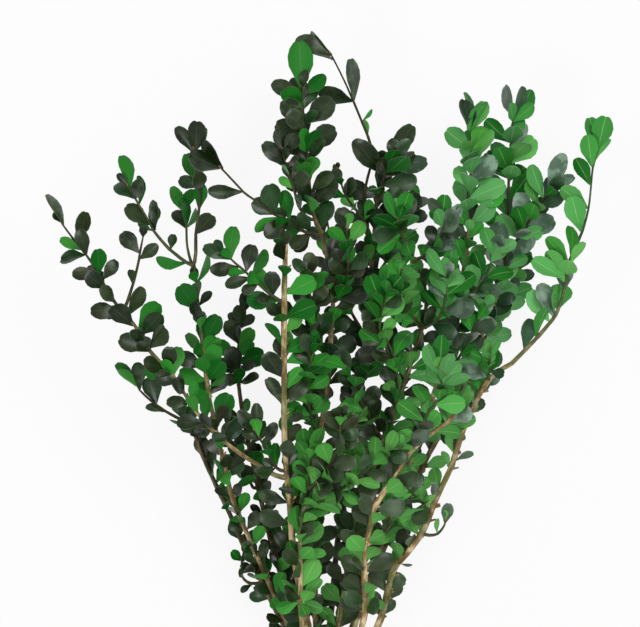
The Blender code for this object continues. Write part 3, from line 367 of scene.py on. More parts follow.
stemWood = {"slim": 0.93, "tipLength": 1.0 * mm, "swell": 1.1, "uneven": (0.93, 1.08), "smooth": 4,
            "round": 4, "rough": 0.55 * mm, "roughScale": 7 * mm}
twigWood = {"slim": 0.86, "tipLength": 0.8 * mm, "swell": 1.22, "uneven": (0.94, 1.06), "smooth": 3,
            "round": 2, "rough": 0.12 * mm, "roughScale": 3 * mm}
# along all wood, and where it joins what carries it
woodRun = {"tipRadius": 0.35, "swellReach": 1.6 * mm, "smoothUnder": 50, "sawnFacing": 0.9,
           "sawnWithin": 1 * mm}
woodJoin = {"reach": 8 * mm, "carrier": 0.9, "sink": 1.6 * mm, "flare": 1.3, "collar": 1.22}
# wood that is slimmer than the frame's
thinned = {"stem_b": 0.78, "stem_a_limb": 0.85}


def isTrunk(part):
    # a stem that runs down through the band
    return part["node"].startswith("stem") and part["node"] != "stem_a_limb"


def carrierOf(part):
    # the place inside the thicker wood that a limb or shoot grows out of
    foot, ahead = part["centres"][0], part["centres"][1]
    found, closest = None, woodJoin["reach"]
    for other in parts:
        if other is part:
            continue
        for start, end, radius in zip(other["centres"], other["centres"][1:], other["radii"]):
            point, share = intersect_point_line(foot, start, end)
            point = start + min(max(share, 0), 1) * (end - start)
            behind = (foot - point).dot(ahead - foot) > 0
            thick = radius > woodJoin["carrier"] * part["radii"][0]
            if thick and behind and (foot - point).length < closest:
                found, closest = point, (foot - point).length
    return found


def runThrough(spline, part, settings):
    # one smooth run through the ring centres, thicker where leaves sit, its foot in what carries it
    centres, radii = list(part["centres"]), list(part["radii"])
    tip = (centres[-1] - centres[-2]).normalized()
    if not isTrunk(part):
        foot = (centres[0] - centres[1]).normalized()
        centres.insert(0, carrierOf(part) or centres[0] + woodJoin["sink"] * foot)
        radii.insert(0, radii[0] * woodJoin["flare"])
        radii[1] *= woodJoin["collar"]
    centres.append(centres[-1] + settings["tipLength"] * tip)
    radii.append(radii[-1] * woodRun["tipRadius"])
    spline.bezier_points.add(len(centres) - 1)
    for point, centre, radius in zip(spline.bezier_points, centres, radii):
        reach = radius + woodRun["swellReach"]
        near = any((leaf["seat"] - centre).length < reach for leaf in part["leaves"])
        point.co = centre
        point.radius = radius * settings["slim"] * (settings["swell"] if near else 1) / mm
        point.radius *= thinned.get(part["node"], 1)
        point.radius *= rng.uniform(*settings["uneven"])
        point.handle_left_type = point.handle_right_type = "AUTO"
    spline.resolution_u = settings["smooth"]


def sweepWood(part, settings):
    bpy.ops.object.select_all(action="DESELECT")
    bpy.ops.curve.primitive_bezier_curve_add()
    curve = bpy.context.object.data
    curve.splines.clear()
    curve.dimensions, curve.twist_mode, curve.use_fill_caps = "3D", "MINIMUM", True
    curve.bevel_depth, curve.bevel_resolution = mm, settings["round"]
    runThrough(curve.splines.new("BEZIER"), part, settings)
    bpy.ops.object.convert(target="MESH")
    return bpy.context.object


def roughen(wood, settings):
    bumps = bpy.data.textures.new("knobs", "CLOUDS")
    bumps.noise_scale = settings["roughScale"]
    rough = wood.modifiers.new("knobs", "DISPLACE")
    rough.texture, rough.texture_coords = bumps, "LOCAL"
    rough.strength, rough.mid_level = settings["rough"], 0.5
    bpy.ops.object.modifier_apply(modifier=rough.name)


def standing(base, along, normal, length, width, height):
    # the place of a unit shape that grows along its second axis
    across = along.cross(normal).normalized()
    place = Matrix((across * width, along * length, across.cross(along) * height)).transposed().to_4x4()
    place.translation = base
    return place


# Stubs of snapped twigs on the stems

snagLook = {"chance": 0.6, "long": (2.2 * mm, 5.5 * mm), "thick": 0.55, "thickRange": (0.75, 1.1),
            "rise": (0.2, 1), "lean": 0.7, "sink": 0.35, "firstRing": 2, "corners": 7, "end": 0.6,
            "uneven": 0.12, "slant": 0.12}


def makeSnag():
    # a unit long and a unit thick at the foot, growing along its second axis, its end broken off askew
    bpy.ops.object.select_all(action="DESELECT")
    bpy.ops.mesh.primitive_cone_add(vertices=snagLook["corners"], radius1=0.5,
                                    radius2=0.5 * snagLook["end"], depth=1)
    snag = bpy.context.object
    bpy.ops.object.mode_set(mode="EDIT")
    bpy.ops.mesh.select_all(action="SELECT")
    bpy.ops.mesh.subdivide(number_cuts=1)
    bpy.ops.object.mode_set(mode="OBJECT")
    for vert in snag.data.vertices:
        x, y, z = vert.co
        wide = 1 + rng.uniform(-snagLook["uneven"], snagLook["uneven"])
        broken = snagLook["slant"] * x if z > 0.4 else 0  # only at the far end
        vert.co = x * wide, z + 0.5 + broken, -y * wide
    mesh = snag.data.copy()
    bpy.data.objects.remove(snag)
    return mesh


def addSnags(part, wood):
    centres, radii = part["centres"], part["radii"]
    bm = bmesh.new()
    bm.from_mesh(wood.data)
    for index in range(snagLook["firstRing"], len(centres) - 1):
        if rng.random() > snagLook["chance"]:
            continue
        along = (centres[index + 1] - centres[index]).normalized()
        outward = Vector((rng.uniform(-1, 1), rng.uniform(-1, 1), rng.uniform(*snagLook["rise"])))
        radial = along.cross(outward).normalized()
        pointing = (radial + snagLook["lean"] * along).normalized()
        foot = centres[index] + snagLook["sink"] * radii[index] * radial
        thick = radii[index] * 2 * snagLook["thick"] * rng.uniform(*snagLook["thickRange"])
        stub = snagShape.copy()
        stub.transform(standing(foot, pointing, along, rng.uniform(*snagLook["long"]), thick, thick))
        bm.from_mesh(stub)
        bpy.data.meshes.remove(stub)
    bm.to_mesh(wood.data)
    bm.free()


# What the bark's material reads from the wood

barkLook = {"oldRadius": 1.75 * mm, "youngRadius": 1.15 * mm, "stretch": 0.2}
# how dark the bark of a stem is, up to 1: partly its own darker bark and partly painted shade for stems that
# lie deep in the bunch
darkBarkAndShade = {"stem_a": 0.15, "stem_a_limb": 0.4, "stem_b": 0.55, "stem_c": 0.85, "stem_e": 0.08,
            "stem_f": 0.15, "stem_g": 0.5, "stem_k": 0.6, "stem_l": 0.9, "stem_r": 0.35, "stem_s": 0.6,
            "stem_w": 0.85}


def ageBark(part, wood):
    # how young the wood is, how bright its leaves are, how dark its bark and painted shade are, and a grain
    # along it
    centres, radii, leaves = part["centres"], part["radii"], part["leaves"]
    shareBright = sum(leaf["normal"].z < 0 for leaf in leaves) / max(len(leaves), 1)
    wood.data.attributes.new("barkAgeAndShade", "FLOAT_COLOR", "POINT")
    wood.data.attributes.new("grain", "FLOAT_VECTOR", "POINT")
    ages, grain = wood.data.attributes["barkAgeAndShade"].data, wood.data.attributes["grain"].data
    steps = [0.0]
    for start, end in zip(centres, centres[1:]):
        steps.append(steps[-1] + (end - start).length)
    for vert, age, line in zip(wood.data.vertices, ages, grain):
        near = min(range(len(centres)), key=lambda i: (centres[i] - vert.co).length_squared)
        youth = (barkLook["oldRadius"] - radii[near]) / (barkLook["oldRadius"] - barkLook["youngRadius"])
        age.color = min(max(youth, 0), 1), shareBright, darkBarkAndShade.get(part["node"], 0), 1
        ahead = max(near, 1)
        along = (centres[ahead] - centres[ahead - 1]).normalized()
        reach = (vert.co - centres[near]).dot(along)
        off = vert.co - centres[near] - reach * along
        line.vector = off.x + steps[-1], (steps[near] + reach) * barkLook["stretch"], off.z + centres[0].x


def paleButt(wood):
    # the sawn end of a stem
    wood.data.materials.append(cutWood)
    butt = min(vert.co.y for vert in wood.data.vertices)
    for face in wood.data.polygons:
        if face.normal.y < -woodRun["sawnFacing"] and face.center.y < butt + woodRun["sawnWithin"]:
            face.material_index = 1


def makeWood(part):
    isStem = part["node"].startswith("stem")
    settings = stemWood if isStem else twigWood
    wood = sweepWood(part, settings)
    roughen(wood, settings)
    if isStem:
        addSnags(part, wood)
    wood.name = wood.data.name = "wood_" + part["node"]
    bpy.ops.object.shade_smooth_by_angle(angle=math.radians(woodRun["smoothUnder"]))
    wood.data.materials.clear()
    wood.data.materials.append(bark)
    ageBark(part, wood)
    if isTrunk(part):
        paleButt(wood)
    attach(wood, "root")
    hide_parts(part["node"])
    return wood


# Leaves

leafLook = {"across": 4, "rows": 6, "crowding": 1.6, "widest": 0.6, "lowerCurve": 1.35, "upperCurve": 0.5,
            "stalk": 0.045, "tip": 0.15, "tipCurve": 0.03, "thick": 0.02, "smoothUnder": 45, "turn": 8}
leafKinds = [
    {"crease": 0.10, "curl": 0.10, "arch": 0.05, "twist": 0.0, "notch": 0.045, "wide": 0.94},
    {"crease": 0.16, "curl": 0.06, "arch": 0.09, "twist": 0.10, "notch": 0.015, "wide": 0.85},
    {"crease": 0.05, "curl": 0.16, "arch": -0.03, "twist": -0.08, "notch": 0.06, "wide": 1.02},
    {"crease": 0.20, "curl": 0.02, "arch": 0.03, "twist": 0.05, "notch": 0.02, "wide": 0.77},
    {"crease": 0.08, "curl": 0.14, "arch": 0.12, "twist": -0.12, "notch": 0.04, "wide": 0.89},
]


def halfWidth(share):
    # a quarter wave out from the stalk to the widest part, and another in to the round tip
    widest = leafLook["widest"]
    if share < widest:
        return max(0.5 * math.sin(math.pi / 2 * share / widest) ** leafLook["lowerCurve"], leafLook["stalk"])
    inwards = math.cos(math.pi / 2 * (share - widest) / (1 - widest))
    return max(0.5 * inwards ** leafLook["upperCurve"], leafLook["tip"])


def giveFinishes(mesh):
    for material in (leafTop, leafUnder, budSkin):
        mesh.materials.append(material)


def makeLeaf(kind):
    # one leaf, a unit long and a unit wide, with its upper side up and its foot at the origin
    bpy.ops.object.select_all(action="DESELECT")
    bpy.ops.mesh.primitive_grid_add(x_subdivisions=leafLook["across"], y_subdivisions=leafLook["rows"],
                                    size=1, calc_uvs=True)
    leaf = bpy.context.object
    leaf.name = "leafShape"
    for vert in leaf.data.vertices:
        side, row = vert.co.x * 2, vert.co.y + 0.5
        share = 1 - (1 - row) ** leafLook["crowding"]  # the rows lie closer towards the tip
        half = halfWidth(share) * kind["wide"]
        lift = kind["crease"] * abs(side) * half - kind["curl"] * side ** 2 * half
        lift += kind["arch"] * 4 * share * (1 - share) + kind["twist"] * side * half * share
        if row > 0.99:  # the last one
            share -= leafLook["tipCurve"] * side ** 2 + kind["notch"] * (1 - abs(side))
        vert.co = side * half, share, lift
    giveFinishes(leaf.data)
    wall = leaf.modifiers.new("thickness", "SOLIDIFY")
    wall.thickness, wall.offset, wall.material_offset = leafLook["thick"], -1, 1  # the underside is next
    bpy.ops.object.modifier_apply(modifier=wall.name)
    bpy.ops.object.shade_smooth_by_angle(angle=math.radians(leafLook["smoothUnder"]))
    mesh = leaf.data.copy()
    bpy.data.objects.remove(leaf)
    return mesh


budLook = {"long": 2.6 * mm, "thick": 1.7 * mm, "sink": 0.2 * mm, "taper": 0.55, "plump": 1.2,
           "sides": 6, "rings": 5,
           "axils": 0.4, "axilLong": 1.5 * mm, "axilThick": 0.55 * mm, "axilOut": 0.3 * mm}


def makeBud():
    # a pointed bud, a unit long and about a unit thick, growing along its own second axis
    bpy.ops.object.select_all(action="DESELECT")
    bpy.ops.mesh.primitive_uv_sphere_add(segments=budLook["sides"], ring_count=budLook["rings"], radius=0.5)
    bud = bpy.context.object
    for vert in bud.data.vertices:
        x, y, z = vert.co
        rise = z + 0.5
        slim = (1 - budLook["taper"] * rise) * budLook["plump"]
        vert.co = x * slim, rise, -y * slim
    giveFinishes(bud.data)
    for face in bud.data.polygons:
        face.material_index, face.use_smooth = 2, True  # the bud's skin
    mesh = bud.data.copy()
    bpy.data.objects.remove(bud)
    return mesh


def anyTone():
    # the shade, hue, and bloom and painted sheen of a leaf, as its material reads them
    return [rng.random(), rng.random(), rng.random(), 1.0]


def addShape(bm, shape, place, tone):
    # a copy of a unit shape in its place, with its tone on it
    copied = shape.copy()
    copied.transform(place)
    tones = copied.attributes.new("leafTone", "FLOAT_COLOR", "POINT")
    tones.data.foreach_set("color", tone * len(copied.vertices))
    bm.from_mesh(copied)
    bpy.data.meshes.remove(copied)


def turnedLeaf(leaf, degrees):
    # the same leaf a little off its planned pose
    tilt, roll = (Matrix.Rotation(math.radians(rng.uniform(-degrees, degrees)), 3, axis)
                  for axis in (leaf["along"].cross(leaf["normal"]), leaf["along"]))
    return dict(leaf, along=tilt @ leaf["along"], normal=roll @ tilt @ leaf["normal"])


# More leaves than the frame holds, on the same twigs, wherever they clear everything

fill = {
    # the pairs: how far apart they are, and how many degrees each is turned from the last one
    "gap": 6.6 * mm, "gapRange": (0.8, 1.3), "starts": (0, 45, 90), "turn": 90, "wander": 16,
    # a leaf: degrees off the twig, size beside the others there, width to length, and how it faces
    "spread": (28, 60), "size": (0.82, 1.1), "ratio": 0.7, "nod": 0.35, "backing": 0.4, "seat": 0.7,
    "tipSpread": 20, "tipSize": 0.6,
    # its room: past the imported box, over the table, outwards on the bunch's border, and from a blade
    # that it can't meet
    "past": 4 * mm, "lowest": 1 * mm, "outermost": 0.2, "farApart": 24 * mm,
    "usual": 0.85, "holdBack": 0.5 * mm,
}
# the share of tried leaves that a part gets, where that isn't the usual one
fullness = {"shoot_arch_left": 0.1, "shoot_back_left": 0.4, "shoot_crown_arch": 0.0,
            "shoot_crown_dark": 0.3, "shoot_crown_mid": 0.4, "shoot_crown_side": 0.25, "shoot_f_end": 0.1,
            "shoot_f_twiglet": 0.0, "shoot_heart_b": 0.5, "shoot_heart_d": 0.5, "shoot_heart_h": 0.0,
            "shoot_left_fan_a": 0.2, "shoot_left_fan_b": 0.25, "shoot_left_high": 0.2,
            "shoot_left_low": 0.4, "shoot_left_reach": 0.1, "shoot_left_rise": 0.5, "shoot_limb_tip": 0.25,
            "shoot_low_a": 0.5, "shoot_low_h": 0.3, "shoot_mid_left": 0.1, "shoot_right_a": 0.35,
            "shoot_right_arm": 0.5, "shoot_right_b": 0.5, "shoot_right_g": 0.5, "shoot_under_limb": 0.4,
            "stem_a": 0.5, "stem_e": 0.65, "stem_f": 0.4, "stem_g": 0.6, "stem_s": 0.6}
# the size of the last two leaves of a part, beside its other leaves
tipSizes = {"shoot_arch_left": 1.3, "shoot_crown_arch": 0.9, "shoot_heart_h": 0.35,
            "shoot_left_fan_b": 0.85, "shoot_right_a": 0.9, "shoot_right_b": 1.25, "shoot_right_c": 0.8}
# bare wood of the frame that has leaves here: from which share of its run, how long and how bright
leafyWood = {"stem_a_limb": {"from": 0.45, "usual": 18 * mm, "bright": 0.75}}
kiteLook = {"from": 0.15, "widest": 0.58}


def kite(leaf):
    # the outline of a leaf's blade, simplified to four corners
    across = leaf["along"].cross(leaf["normal"]).normalized() * leaf["width"] * 0.5
    base, along = leaf["base"], leaf["along"] * leaf["length"]
    widest = base + kiteLook["widest"] * along
    return [base + kiteLook["from"] * along, widest + across, base + along, widest - across]


def bladeOf(leaf):
    # the middle of a kite, and its two triangles
    corners = kite(leaf)
    return sum(corners, Vector()) / 4, BVHTree.FromPolygons(corners, [(0, 1, 2), (0, 2, 3)])


def treeOf(pieces):
    corners, faces = [], []
    for piece in pieces:
        faces += [[index + len(corners) for index in face.vertices] for face in piece.data.polygons]
        corners += [vert.co.copy() for vert in piece.data.vertices]
    return BVHTree.FromPolygons(corners, faces)


class Crowd:
    # the wood and the blades that are already there
    def __init__(self, wood):
        self.wood, self.blades = treeOf(wood), []

    def add(self, leaf):
        self.blades.append(bladeOf(leaf))

    def clears(self, leaf):
        middle, blade = bladeOf(leaf)
        near = (other for centre, other in self.blades if (centre - middle).length < fill["farApart"])
        return not blade.overlap(self.wood) and not any(blade.overlap(other) for other in near)


def pointAt(part, distance):
    # a place on the centre line, which way it runs there, and its radius
    centres, radii = part["centres"], part["radii"]
    for index in range(len(centres) - 1):
        step = centres[index + 1] - centres[index]
        if distance <= step.length or index == len(centres) - 2:
            share = min(distance / step.length, 1.0)
            return (centres[index] + share * step, step.normalized(),
                    radii[index] + share * (radii[index + 1] - radii[index]))
        distance -= step.length


def runLength(part, upTo=None):
    centres = part["centres"][:upTo]
    return sum((b - a).length for a, b in zip(centres, centres[1:]))


def firstLeafy(part):
    # the ring nearest to a leaf, with each ring further up the twig held back a little
    def away(index):
        nearest = min((leaf["seat"] - part["centres"][index]).length for leaf in part["leaves"])
        return nearest + index * fill["holdBack"]
    return min(range(len(part["centres"])), key=away)


def coverOf(part):
    # how far up its run a part starts to bear leaves, their usual length, and the share of bright ones
    leaves = part["leaves"]
    if not leaves:
        cover = leafyWood[part["node"]]
        return cover["from"] * runLength(part), cover["usual"], cover["bright"]
    usual = sum(leaf["length"] for leaf in leaves) / len(leaves)
    bright = sum(leaf["normal"].z < 0 for leaf in leaves) / len(leaves)
    return runLength(part, firstLeafy(part) + 1), usual, bright


def leafAt(part, mark, angle, usual, own, atTip):
    # a new leaf at a distance up the twig and an angle round it; usual and own are its part's length of
    # leaf and share of bright ones
    centre, along, radius = pointAt(part, mark)
    along = drooping.get(part["node"], along) if atTip else along
    side = along.cross(up).normalized()
    radial = math.cos(angle) * side + math.sin(angle) * side.cross(along)
    spread = math.radians(fill["tipSpread"] if atTip else rng.uniform(*fill["spread"]))
    pointing = (math.cos(spread) * along + math.sin(spread) * radial).normalized()
    bright, nod = (own + brightHere(centre, part)) / 2, fill["nod"]
    facing = Vector((rng.uniform(-nod, nod), rng.uniform(-nod, nod), -1 if rng.random() < bright else 1))
    facing += fill["backing"] * (math.sin(spread) * along - math.cos(spread) * radial)
    facing -= facing.dot(pointing) * pointing
    share = tipSizes.get(part["node"], fill["tipSize"]) if atTip else rng.uniform(*fill["size"])
    return {"base": centre + fill["seat"] * radius * radial, "along": pointing,
            "normal": facing.normalized(), "length": usual * share,
            "width": usual * share * fill["ratio"], "seat": centre}


def hasRoom(part, leaf, crowd):
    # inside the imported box, off the table, not out over the bunch's border, and clear of the others
    corners, past = kite(leaf), fill["past"]
    inside = all(low - past < corner[axis] < high + past for corner in corners
                 for axis, (low, high) in enumerate(zip(cadLow, cadHigh)))
    inwards = leaf["along"].x * outerSide.get(part["node"], 0) < fill["outermost"]
    offTable = min(corner.z for corner in corners) > fill["lowest"]
    return inside and inwards and offTable and crowd.clears(leaf)


def moreLeaves(part, crowd):
    # pairs up the twig, each pair turned from the last one, and a pair at the tip
    phase, made = rng.choice(fill["starts"]), []
    if not part["leaves"] and part["node"] not in leafyWood:
        return made
    mark, usual, own = coverOf(part)
    total, share = runLength(part), fullness.get(part["node"], fill["usual"])
    while mark < total + fill["gap"]:
        atTip = mark >= total
        for half in (0, 180):
            angle = math.radians(phase + half + rng.uniform(-fill["wander"], fill["wander"]))
            leaf = leafAt(part, min(mark, total), angle, usual, own, atTip)
            wanted = rng.random() < (1 if atTip else share)
            if wanted and hasRoom(part, leaf, crowd):
                crowd.add(leaf)
                made.append(leaf)
        phase += fill["turn"]
        mark += fill["gap"] * rng.uniform(*fill["gapRange"])
    return made


def axilPlace(part, leaf):
    # a bud in the corner between a leaf and its twig
    near = min(part["centres"], key=lambda point: (point - leaf["seat"]).length)
    out = leaf["seat"] - near
    out = out.normalized() if out.length > packed["same"] else leaf["normal"]
    pointing = (out + leaf["along"]).normalized()
    return standing(leaf["base"] + out * budLook["axilOut"], pointing, out.orthogonal().normalized(),
                    budLook["axilLong"], budLook["axilThick"], budLook["axilThick"])


def tipPlace(part):
    # the bud at the end of a twig
    tip, along = part["centres"][-1], (part["centres"][-1] - part["centres"][-2]).normalized()
    return standing(tip - budLook["sink"] * along, along, along.orthogonal().normalized(),
                    budLook["long"], budLook["thick"], budLook["thick"])


def makeFoliage(part, extra):
    # all the leaves and buds of a stem or shoot, as one mesh
    bm = bmesh.new()
    for leaf in part["leaves"] + extra:
        pose = turnedLeaf(leaf, leafLook["turn"])
        place = standing(pose["base"], pose["along"], pose["normal"], pose["length"], pose["width"],
                         pose["length"])
        addShape(bm, rng.choice(leafShapes), place, anyTone())
        if rng.random() < budLook["axils"]:
            addShape(bm, budShape, axilPlace(part, leaf), anyTone())
    addShape(bm, budShape, tipPlace(part), anyTone())
    mesh = bpy.data.meshes.new("leaves_" + part["node"])
    bm.to_mesh(mesh)
    bm.free()
    giveFinishes(mesh)
    piece = bpy.data.objects.new(mesh.name, mesh)
    bpy.context.collection.objects.link(piece)
    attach(piece, "root")
    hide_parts(part["node"])


# The rubber band, wound three times

bandLook = {"turns": 3, "thick": 1.5 * mm, "wide": 1.9 * mm, "tilt": 1.6, "waves": 3, "uneven": 0.1,
            "segments": 72, "roundness": 12, "smoothUnder": 60}


def makeTurn(turn, outer, width, centre):
    # one turn of the band, flattened, a little uneven and a little askew
    bpy.ops.object.select_all(action="DESELECT")
    bpy.ops.mesh.primitive_torus_add(major_segments=bandLook["segments"],
                                     minor_segments=bandLook["roundness"],
                                     major_radius=outer - bandLook["thick"] / 2,
                                     minor_radius=bandLook["thick"] / 2)
    ring = bpy.context.object
    room = (width - bandLook["wide"]) / (bandLook["turns"] - 1)
    offset = (turn - (bandLook["turns"] - 1) / 2) * room
    wave = rng.uniform(0, 2 * math.pi)
    tilt = math.radians(rng.uniform(-bandLook["tilt"], bandLook["tilt"]))
    for vert in ring.data.vertices:
        x, y, z = vert.co
        flatter = 1 + bandLook["uneven"] * math.sin(bandLook["waves"] * math.atan2(y, x) + wave)
        flatter *= bandLook["wide"] / bandLook["thick"]
        vert.co = x, z * flatter + offset + math.sin(tilt) * x, -y
    ring.data.transform(Matrix.Translation(centre))
    return ring


def makeBand():
    low, high = (Vector(corner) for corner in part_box("band"))
    rings = [makeTurn(turn, (high.x - low.x) / 2, high.y - low.y, (low + high) / 2)
             for turn in range(bandLook["turns"])]
    bpy.ops.object.select_all(action="DESELECT")
    for ring in rings:
        ring.select_set(True)
    bpy.context.view_layer.objects.active = rings[0]
    bpy.ops.object.join()
    band = bpy.context.object
    band.name = band.data.name = "rubber_band"
    bpy.ops.object.shade_smooth_by_angle(angle=math.radians(bandLook["smoothUnder"]))
    band.data.materials.append(rubber)
    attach(band, "root")
    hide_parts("band")


# Finishes. A leaf's tone gives its shade, hue, and bloom and painted sheen. Rightward and upward are places
# along X and Y, in metres from the middle of the bunch; painted light on the leaves follows them.

def makeLeafTop():
    paint = Paint("leafTop")
    shade, hue, bloomAndSheen = paint.channels("leafTone")
    offMiddle = abs(paint.axes(paint.uv())[0] - 0.5)
    rightward, upward = paint.axes(paint.place())[:2]
    patches = paint.noise(120, 3)
    # painted light: leaves low down on the right are painted paler
    paintedLightLowDown = (1 - upward.between(-0.08, 0.03)) * rightward.between(-0.04, 0.0)
    dark = paint.mix(shade, colour(14, 30, 6), colour(42, 60, 28))
    dark = paint.mix(hue.between(0.84, 1.0) * 0.5, dark, colour(52, 46, 28))  # brownish
    dark = paint.mix((1 - hue.between(0.0, 0.34)) * 0.6, dark, colour(26, 76, 34))  # still green
    # dust on some leaves, together with a painted sheen that grows stronger to the right
    dustAndSheen = patches.between(0.42, 0.7) * (0.16 + bloomAndSheen.between(0.6, 1.0) * 0.5)
    dustAndSheen = dustAndSheen * (0.55 + rightward.between(-0.1, 0.08) * 0.6)
    dark = paint.mix(dustAndSheen, dark, colour(108, 126, 98))
    # painted light: lighter and bluer towards the right
    dark = paint.mix(rightward.between(0.05, 0.14) * 0.3, dark, colour(62, 110, 80))  # bluer to the right
    # painted sheen: a pale blue-green haze of light on some leaves to the right
    paintedSheen = rightward.between(0.03, 0.11) * bloomAndSheen.between(0.3, 0.9) * (0.3 + patches.between(0.42, 0.6) * 0.55)
    dark = paint.mix(paintedSheen, dark, colour(150, 180, 158))
    dark = paint.mix(paintedLightLowDown * 0.2, dark, colour(98, 118, 84))  # paler low on the right
    dark = paint.mix((1 - offMiddle.between(0.0, 0.03)) * 0.35, dark, colour(84, 106, 66))  # midrib
    # painted highlight along the leaf's edge
    dark = paint.mix(offMiddle.between(0.46, 0.5) * 0.4, dark, colour(96, 120, 84))  # edge
    return paint.finish(bump=paint.noise(900, 2), strength=0.12, height=0.15 * mm, Base_Color=dark,
                        Roughness=0.2 + patches * 0.2, Specular_IOR_Level=0.32)


def makeLeafUnder():
    paint = Paint("leafUnder")
    shade, hue, bloomAndSheen = paint.channels("leafTone")
    across, lengthways = paint.axes(paint.uv())[:2]
    offMiddle = abs(across - 0.5)
    rightward, upward = paint.axes(paint.place())[:2]
    sunward = rightward - upward * 0.4
    paintedLightLowDown = (1 - upward.between(-0.08, 0.04)) * rightward.between(-0.05, 0.01)
    # painted light: each leaf's own shade, made lighter towards the right and low down
    shadeAndPaintedLight = shade * (0.62 + sunward.between(-0.12, 0.03) * 0.38)
    green = paint.mix(shadeAndPaintedLight, colour(0, 92, 14), colour(62, 166, 56))
    # a yellower green on some leaves, with painted light making it stronger to the right
    yellowerAndPaintedLight = hue.between(0.7, 1.0) * (0.2 + rightward.between(-0.08, 0.04) * 0.4)
    green = paint.mix(yellowerAndPaintedLight, green, colour(124, 204, 96))
    # painted haze of light: pale green on some leaves to the right, less of it far up
    paintedHaze = rightward.between(0.02, 0.11) * (1 - rightward.between(0.12, 0.18) * 0.6)
    paintedHaze = paintedHaze * bloomAndSheen.between(0.2, 0.9) * (0.75 - upward.between(0.06, 0.2) * 0.35)
    green = paint.mix(paintedHaze, green, colour(124, 200, 124))
    # painted light low down on the right
    green = paint.mix(paintedLightLowDown * 0.55, green, colour(112, 188, 92))  # paler low on the right
    slanting = paint.node("ShaderNodeCombineXYZ", {}, {"X": lengthways - offMiddle * 0.9})
    veins = paint.node("ShaderNodeTexWave", {"bands_direction": "X"},
                       {"Vector": slanting, "Scale": 3.2, "Distortion": 0.6})
    green = paint.mix(veins.between(0.72, 1.0) * 0.06, green, colour(112, 182, 92))
    # the pale midrib, painted paler towards the light
    midribAndPaintedLight = (1 - offMiddle.between(0.006, 0.03)) * (0.06 + sunward.between(-0.1, 0.04) * 0.44)
    green = paint.mix(midribAndPaintedLight, green, colour(166, 214, 134))
    return paint.finish(bump=veins, strength=0.06, height=0.1 * mm, Base_Color=green,
                        Roughness=0.42 + paint.noise(300) * 0.12, Specular_IOR_Level=0.16)


def makeBark():
    # pale tan with brown on old wood, darker bark and painted shade on stems deep in the bunch, and dark or
    # bright green on young twigs
    paint = Paint("bark")
    youth, brightness, darkenedAndShaded = paint.channels("barkAgeAndShade")
    streaks = paint.noise(420, 4, 0.6, paint.attribute("grain", "Vector"))
    blotches, green = paint.noise(70, 3, 0.55), paint.noise(38, 2, 0.5)
    old = paint.mix(streaks.between(0.38, 0.62), colour(146, 116, 66), colour(238, 214, 166))
    old = paint.mix(blotches.between(0.46, 0.62) * 0.8, old, colour(108, 80, 44))
    old = paint.mix(green.between(0.47, 0.62) * 0.55, old, colour(84, 106, 54))
    # darker bark, and painted shade on the stems that lie deep in the bunch
    old = paint.mix(darkenedAndShaded * (1 - streaks.between(0.5, 0.7) * 0.35), old, colour(62, 56, 38))
    young = paint.mix(brightness.between(0.25, 0.75), colour(60, 54, 38), colour(62, 84, 46))
    young = paint.mix(streaks.between(0.5, 0.75) * 0.4, young, colour(150, 128, 82))
    return paint.finish(bump=streaks, strength=0.5, height=0.5 * mm, Base_Color=paint.mix(youth, old, young),
                        Roughness=0.6 + streaks * 0.2, Specular_IOR_Level=0.25)


def makeCutWood():
    paint = Paint("cutWood")
    grain = paint.noise(900, 3, 0.6)
    face = paint.mix(grain.between(0.35, 0.65), colour(226, 203, 150), colour(196, 164, 108))
    return paint.finish(bump=grain, strength=0.4, height=0.2 * mm, Base_Color=face, Roughness=0.75)


def makeBudSkin():
    paint = Paint("budSkin")
    scales = paint.noise(1500, 2)
    face = paint.mix(scales.between(0.35, 0.65), colour(150, 92, 62), colour(112, 98, 58))
    return paint.finish(bump=scales, strength=0.3, height=0.1 * mm, Base_Color=face, Roughness=0.5)


def makeRubber():
    paint = Paint("rubber")
    dust = paint.noise(260, 4, 0.6)
    face = paint.mix(dust.between(0.4, 0.7), colour(196, 160, 104), colour(178, 140, 86))
    return paint.finish(bump=dust, strength=0.2, height=0.15 * mm, Base_Color=face,
                        Roughness=0.5 + dust * 0.2)


# The bunch

leafTop, leafUnder = makeLeafTop(), makeLeafUnder()
bark, cutWood, budSkin, rubber = makeBark(), makeCutWood(), makeBudSkin(), makeRubber()
print("finishes made")

snagShape = makeSnag()
woods = [makeWood(part) for part in parts]
print("wood made:", len(woods))

leafShapes = [makeLeaf(kind) for kind in leafKinds]
budShape = makeBud()
crowd = Crowd(woods)
for part in parts:
    for leaf in part["leaves"]:
        crowd.add(leaf)
count = 0
for part in parts:
    rng.seed(part["node"])  # a change to one part leaves the others as they are
    extra = moreLeaves(part, crowd)
    count += len(extra)
    if part["leaves"] or extra:
        makeFoliage(part, extra)
print("leaves added between the others:", count)
makeBand()
print("band made")


# Floor, light and camera

stageLook = {"floor": 8, "whiter": 0.88, "world": 0.58}
# the camera looks down on a place aside and ahead of the band, halfway up the bunch
cameraLook = {"height": 2.4, "frameWidth": 0.448, "sensor": 36, "aside": -1.2 * mm, "ahead": 285.05 * mm,
              "middle": 0.07}
lamps = {"window": {"energy": 17, "size": 1.0, "place": (0.85, 0.8, 1.9)},
         "sideLamp": {"energy": 6, "size": 0.4, "place": (-0.8, -0.35, 1.5)}}


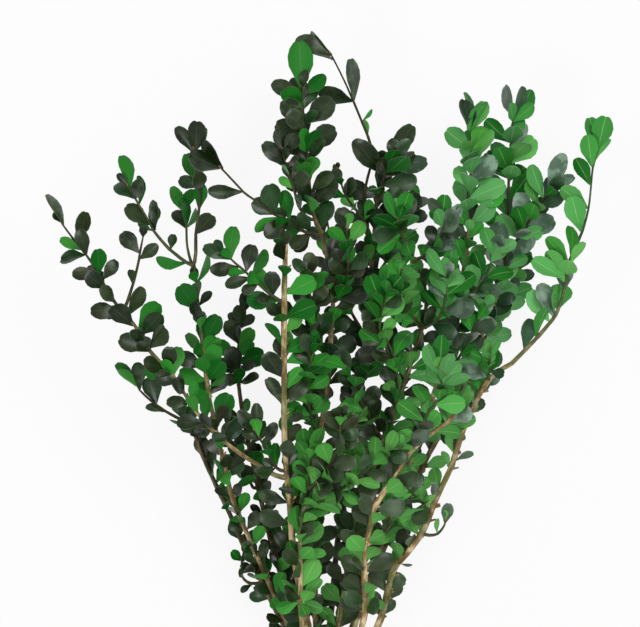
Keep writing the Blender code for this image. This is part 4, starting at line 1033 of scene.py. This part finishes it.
def makeFloor():
    # pale, and nearly white where it is seen directly or mirrored
    bpy.ops.object.select_all(action="DESELECT")
    bpy.ops.mesh.primitive_plane_add(size=stageLook["floor"])
    floor = bpy.context.object
    floor.name = "floor"
    paint = Paint("paleFloor")
    paint.finish(Base_Color=colour(238, 238, 238), Roughness=0.9, Specular_IOR_Level=0.1)
    glow = paint.node("ShaderNodeEmission", {}, {"Color": (1, 1, 1, 1), "Strength": 1.0})
    seen = paint.node("ShaderNodeLightPath", out="Is Camera Ray")
    shine = paint.node("ShaderNodeLightPath", out="Is Glossy Ray")
    lit = Wire(paint, paint.surface.outputs[0])
    both = paint.node("ShaderNodeMixShader", {}, {0: (seen + shine) * stageLook["whiter"], 1: lit, 2: glow})
    paint.plug(paint.tree.nodes["Material Output"].inputs["Surface"], both)
    floor.data.materials.append(paint.material)


def makeLamp(name, look, target):
    bpy.ops.object.light_add(type="AREA", location=look["place"])
    lamp = bpy.context.object
    lamp.name, lamp.data.energy, lamp.data.size = name, look["energy"], look["size"]
    lamp.rotation_euler = (target - Vector(look["place"])).to_track_quat("-Z", "Y").to_euler()


def makeCamera(target):
    # straight above, looking down
    bpy.ops.object.camera_add(location=target + Vector((0, 0, cameraLook["height"])), rotation=(0, 0, 0))
    camera = bpy.context.object
    camera.data.sensor_width = cameraLook["sensor"]
    camera.data.lens = cameraLook["sensor"] * cameraLook["height"] / cameraLook["frameWidth"]
    bpy.context.scene.camera = camera


def makeRoom():
    world = bpy.data.worlds.new("room")
    world.use_nodes = True
    light = world.node_tree.nodes["Background"]
    light.inputs["Strength"].default_value = stageLook["world"]
    light.inputs["Color"].default_value = (1, 1, 1, 1)
    bpy.context.scene.world = world
    bpy.context.scene.view_settings.view_transform = "Standard"


aim = Vector((bandMiddle.x + cameraLook["aside"], bandMiddle.y + cameraLook["ahead"], cameraLook["middle"]))
makeFloor()
for name, look in lamps.items():
    makeLamp(name, look, aim)
makeRoom()
makeCamera(aim)
print("floor, light and camera made")
